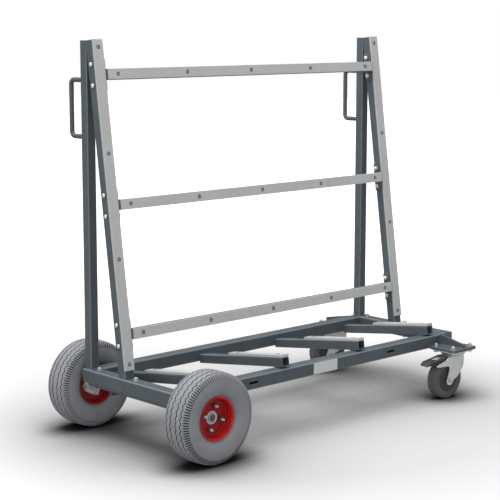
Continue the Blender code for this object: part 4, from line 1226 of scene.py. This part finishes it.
def make_fork(name, place, body, node):
    """A fork pressed from one sheet: two slanting side plates that bend over into the crown."""
    half = [(fork_outer, height, *side_reach(height)) for height in fork_heights]
    for step in range(1, bend_rows + 1):
        share = step / bend_rows
        angle = share * math.pi / 2
        across = fork_outer - crown_bend + crown_bend * math.cos(angle)
        height = crown_top - crown_bend + crown_bend * math.sin(angle)
        edge = math.sqrt(crown_disc ** 2 - across ** 2)
        start, end = side_reach(height)
        soft = share * share * (3 - 2 * share)
        half.append((across, height, start * (1 - soft) - edge * soft, end * (1 - soft) + edge * soft))
    for across in (0.016, 0.012, 0.008, 0.004, 0.0):
        edge = math.sqrt(crown_disc ** 2 - across ** 2)
        half.append((across, crown_top, -edge, edge))
    rows = []
    for across, height, start, end in [(-row[0], *row[1:]) for row in half] + half[-2::-1]:
        row = []
        for step in range(fork_columns + 1):
            share = 0.5 - 0.5 * math.cos(math.pi * step / fork_columns)
            row.append(place @ Vector((start + (end - start) * share, across, height)))
        rows.append(row)
    shape = bmesh.new()
    sheet(shape, rows)
    made = piece(name, shape, zinc, body, smooth=40.0, node=node)
    if outward_is_wrong(made, place @ Vector((0.0, 0.0, 0.10))):
        made.data.flip_normals()
    modified(made, "SOLIDIFY", thickness=fork_plate, offset=-1.0, use_even_offset=True)
    bevelled(made, 0.0006, 50.0)


castor_tyre_half = (
    (0.0483, 0.0152), (0.0390, 0.0152), (0.0386, 0.0164), (0.0394, 0.0174), (0.0440, 0.0180),
    (0.0540, 0.0181), (0.0575, 0.0179), (0.0600, 0.0170), (0.0616, 0.0153), (0.0623, 0.0130),
    (0.0625, 0.0100), (0.0625, 0.0),
)
castor_core_half = (
    (0.0056, 0.0205), (0.0105, 0.0205), (0.0110, 0.0200), (0.0110, 0.0174), (0.0130, 0.0172),
    (0.0300, 0.0174), (0.0368, 0.0174), (0.0378, 0.0168), (0.0382, 0.0158), (0.0384, 0.0149),
    (0.0480, 0.0149),
)


def make_caster_wheel(name, place, body):
    shape = bmesh.new()
    turned(shape, mirrored(castor_tyre_half), 96, place, closed=True)
    piece(name + "_rubber_tyre", shape, caster_rubber, body, node=name + "_tyre")
    shape = bmesh.new()
    turned(shape, mirrored(castor_core_half), 96, place, closed=True)
    piece(name + "_guarded_core", shape, caster_plastic, body, smooth=25.0, node=name + "_core")


# The pedal along its length: X and Z from the hinge, depth of the turned-down sides and half width. Its holes
# are given by their place and half sizes, and the brake's leaf by X, Z and half width
pedal_line = (
    (-0.0035, 0.0040, 0.0085, 0.0193), (0.0040, 0.0050, 0.0090, 0.0193), (0.0120, 0.0052, 0.0095, 0.0193),
    (0.0240, 0.0030, 0.0095, 0.0193), (0.0380, 0.0000, 0.0095, 0.0193), (0.0550, -0.0025, 0.0092, 0.0193),
    (0.0700, -0.0048, 0.0085, 0.0190), (0.0790, -0.0070, 0.0075, 0.0177), (0.0860, -0.0100, 0.0058, 0.0155),
    (0.0905, -0.0128, 0.0040, 0.0130), (0.0930, -0.0150, 0.0020, 0.0100),
)
pedal_steps = (-1.0, -0.97, -0.80, -0.55, -0.30, 0.0, 0.30, 0.55, 0.80, 0.97, 1.0)
pedal_curl = 0.0012
pedal_hollow = 0.0007
pedal_holes = ((0.0350, 0.0140, 0.0120), (0.0705, 0.0062, 0.0068))
leaf_line = (
    (0.0060, 0.0014, 0.0110), (0.0150, 0.0016, 0.0110), (0.0200, 0.0006, 0.0105), (0.0265, 0.0016, 0.0100),
    (0.0380, -0.0007, 0.0100), (0.0450, -0.0018, 0.0100), (0.0500, -0.0050, 0.0105),
    (0.0600, -0.0060, 0.0090),
)
leaf_half = 0.0010
pedal_sheet = 0.0022
pedal_hinge = (0.0425, 0.0, 0.132)
barrel_profile = ((0.0044, -0.0190), (0.0044, 0.0190))
rivet_profile = ((0.0028, 0.0190), (0.0028, 0.0263), (0.0044, 0.0264), (0.0041, 0.0274), (0.0026, 0.0280))


def make_pedal(name, place, body, node):
    """The brake pedal: a curved pressed plate with turned-down sides, a window and a hole, on its hinge pin,
    with the brake's leaf under it."""
    rows = []
    for x, z, deep, half in pedal_line:
        row = [(-half, z - deep), (-half, z - deep * 0.5)]
        for share in pedal_steps:
            curl = pedal_curl if abs(share) > 0.95 else 0.0
            row.append((share * half, z - curl + pedal_hollow * share * share))
        row += [(half, z - deep * 0.5), (half, z - deep)]
        rows.append([place @ Vector((x, y, height)) for y, height in row])
    shape = bmesh.new()
    sheet(shape, rows)
    made = piece(name, shape, pedal_paint, body, smooth=40.0, node=node)
    modified(made, "SOLIDIFY", thickness=pedal_sheet, offset=0.0)
    cutter = bmesh.new()
    for x, half_x, half_y in pedal_holes:
        outline = rectangle(half_x, half_y, min(half_x, half_y) * 0.7, 6)
        stacked(cutter, place @ moved(x, 0, 0), outline, ((1.0, -0.03), (1.0, 0.03)))
    bmesh.ops.recalc_face_normals(cutter, faces=cutter.faces)
    tool = new_object("cutter", cutter)
    modified(made, "BOOLEAN", operation="DIFFERENCE", solver="EXACT", object=tool)
    bpy.data.objects.remove(tool)
    bevelled(made, 0.0005, 45.0)
    shape = bmesh.new()
    rings = []
    for x, z, half in leaf_line:
        corners = ((-half, -leaf_half), (half, -leaf_half), (half, leaf_half), (-half, leaf_half))
        rings.append([place @ Vector((x, y, z + deep)) for y, deep in corners])
    loft(shape, rings)
    bevelled(piece(name + "_brake_leaf", shape, zinc, body), 0.0004, 45.0)
    shape = bmesh.new()
    pin = place @ spun(90, "X")
    turned(shape, barrel_profile, 28, pin)
    turned(shape, rivet_profile, 24, pin)
    turned(shape, [(radius, -height) for radius, height in rivet_profile], 24, pin)
    piece(name + "_hinge_pin", shape, zinc, body)


axle_bolt_radius = 0.005
axle_bolt_corner = 0.0092


def make_caster(name, y):
    fixed = Matrix.Translation(at(caster_x, y, 0.0))
    swivel = fixed @ spun(caster_turns[name], "Z")
    key = name + "_caster"
    make_mount(key + "_plate_and_raceway", fixed, key + "_mount_plate")
    make_fork(key + "_pressed_fork", swivel, key + "_body", key + "_fork")
    axle = swivel @ moved(caster_trail, 0.0, caster_axle_height)
    make_caster_wheel(key, axle @ spun(90, "X"), key + "_wheel_body")
    shape = bmesh.new()
    start = axle @ Vector((0.0, -fork_outer - 0.0002, 0.0))
    direction = swivel.to_3x3() @ Vector((0, 1, 0))
    hexagon_bolt(
        shape, start, direction, 2 * fork_outer + 0.0004, axle_bolt_radius, axle_bolt_corner,
        head=0.0062, nut=0.0078, end=0.002, nut_washer=0.0,
    )
    shank = axle_bolt_radius - 0.0001
    turned(shape, ((shank, 0.0), (shank, 2 * fork_outer)), 24, facing(start, direction))
    piece(key + "_axle_bolt_and_nut", shape, bright_zinc, key + "_body", node=key + "_axle_bolt")
    hinge = swivel @ moved(*pedal_hinge)
    make_pedal(key + "_pressed_pedal", hinge, name + "_pedal_body", key + "_brake_pedal")


make_caster("front", -caster_from_side)
make_caster("back", frame_width + caster_from_side)


# Floor
def for_camera(nodes, elsewhere, seen, output):
    """Puts one shader out, and another one where the camera sees it directly or through glass."""
    path = nodes.node("LightPath").outputs
    share = nodes.maths("MAXIMUM", path["Is Camera Ray"], path["Is Transmission Ray"])
    mixed = nodes.node("MixShader", {"Fac": share, 1: elsewhere, 2: seen})
    nodes.node(output, {"Surface": mixed.outputs["Shader"]})


def openness(nodes, distance):
    """Mask that falls where something stands within a distance."""
    return nodes.node("AmbientOcclusion", {"Distance": distance}, samples=16).outputs["AO"]


shape = bmesh.new()
corners = ((-14.0, -12.0, 0.0), (14.0, -12.0, 0.0), (14.0, 16.0, 0.0), (-14.0, 16.0, 0.0))
shape.faces.new([shape.verts.new(Vector(corner)) for corner in corners])
floor = new_object("studio_floor", shape)
floor_material = bpy.data.materials.new("pale_floor")
floor.data.materials.append(floor_material)
made = Nodes(floor_material)
made.tree.nodes.clear()
# Painted shadow: the floor's colour seen by the camera darkens where things stand near it, broadly and at
# contacts.
wide_shade = made.maths("POWER", openness(made, 0.45), 1.7)
contact = made.span(openness(made, 0.12), 0.45, 0.92, 0.15, 1.0)
tone = made.mixed("RGBA", made.times(wide_shade, contact), (0.012, 0.012, 0.012), (0.60, 0.60, 0.60))
distance = made.vector_maths("LENGTH", made.node("TexCoord").outputs["Object"])
glow = made.node("Emission", {"Strength": made.span(distance, 0.7, 2.6)})
seen = made.node("BsdfDiffuse", {"Color": tone})
both = made.node("AddShader", {0: seen.outputs["BSDF"], 1: glow.outputs["Emission"]})
plain = made.node("BsdfDiffuse", {"Color": (0.34, 0.34, 0.34)})
for_camera(made, plain.outputs["BSDF"], both.outputs["Shader"], "OutputMaterial")

# World: an even studio, brighter to the left, and plain white where the camera sees it
world = bpy.data.worlds.new("studio")
bpy.context.scene.world = world
made = Nodes(world)
made.tree.nodes.clear()
leftward = made.vector_maths("DOT_PRODUCT", made.node("TexCoord").outputs["Generated"], (-0.95, -0.30, -0.45))
light = made.node("Background", {"Strength": made.span(leftward, -0.3, 1.0, 0.60, 1.65)})
white = made.node("Background", {"Color": (1.0, 1.0, 1.0), "Strength": 1.0})
for_camera(made, light.outputs["Background"], white.outputs["Background"], "OutputWorld")

# Softbox above the buggy
lamp = bpy.data.lights.new("top_softbox", "AREA")
lamp.shape = "RECTANGLE"
lamp.size = 3.6
lamp.size_y = 3.6
lamp.energy = 190.0
softbox = bpy.data.objects.new("top_softbox", lamp)
bpy.context.scene.collection.objects.link(softbox)
softbox.location = (-0.6, 0.3, 4.2)
lamp_target = Vector((0.0, 0.0, 0.3))
softbox.rotation_euler = (softbox.location - lamp_target).to_track_quat("Z", "Y").to_euler()

# Camera at the photograph's viewing angle
azimuth = math.radians(-43.2112)
elevation = math.radians(8.8923)
roll = math.radians(0.0453)
sensor_width = 36.0
focal_length_in_pixels = 1458.66
photo_width = 500.0
back = Vector((
    math.sin(azimuth) * math.cos(elevation),
    -math.cos(azimuth) * math.cos(elevation),
    math.sin(elevation),
))
right = (-back).cross(Vector((0.0, 0.0, 1.0))).normalized()
up = right.cross(-back)
turned_right = right * math.cos(roll) + up * math.sin(roll)
turned_up = up * math.cos(roll) - right * math.sin(roll)
camera_data = bpy.data.cameras.new("camera")
camera = bpy.data.objects.new("camera", camera_data)
bpy.context.scene.collection.objects.link(camera)
camera_data.sensor_width = sensor_width
camera_data.lens = sensor_width * focal_length_in_pixels / photo_width
camera_data.clip_end = 60.0
turn = Matrix((turned_right, turned_up, back)).transposed().to_4x4()
camera.matrix_world = Matrix.Translation(at(-2.50509, -2.97215, 1.20142)) @ turn
bpy.context.scene.camera = camera
bpy.context.scene.view_settings.view_transform = "Standard"
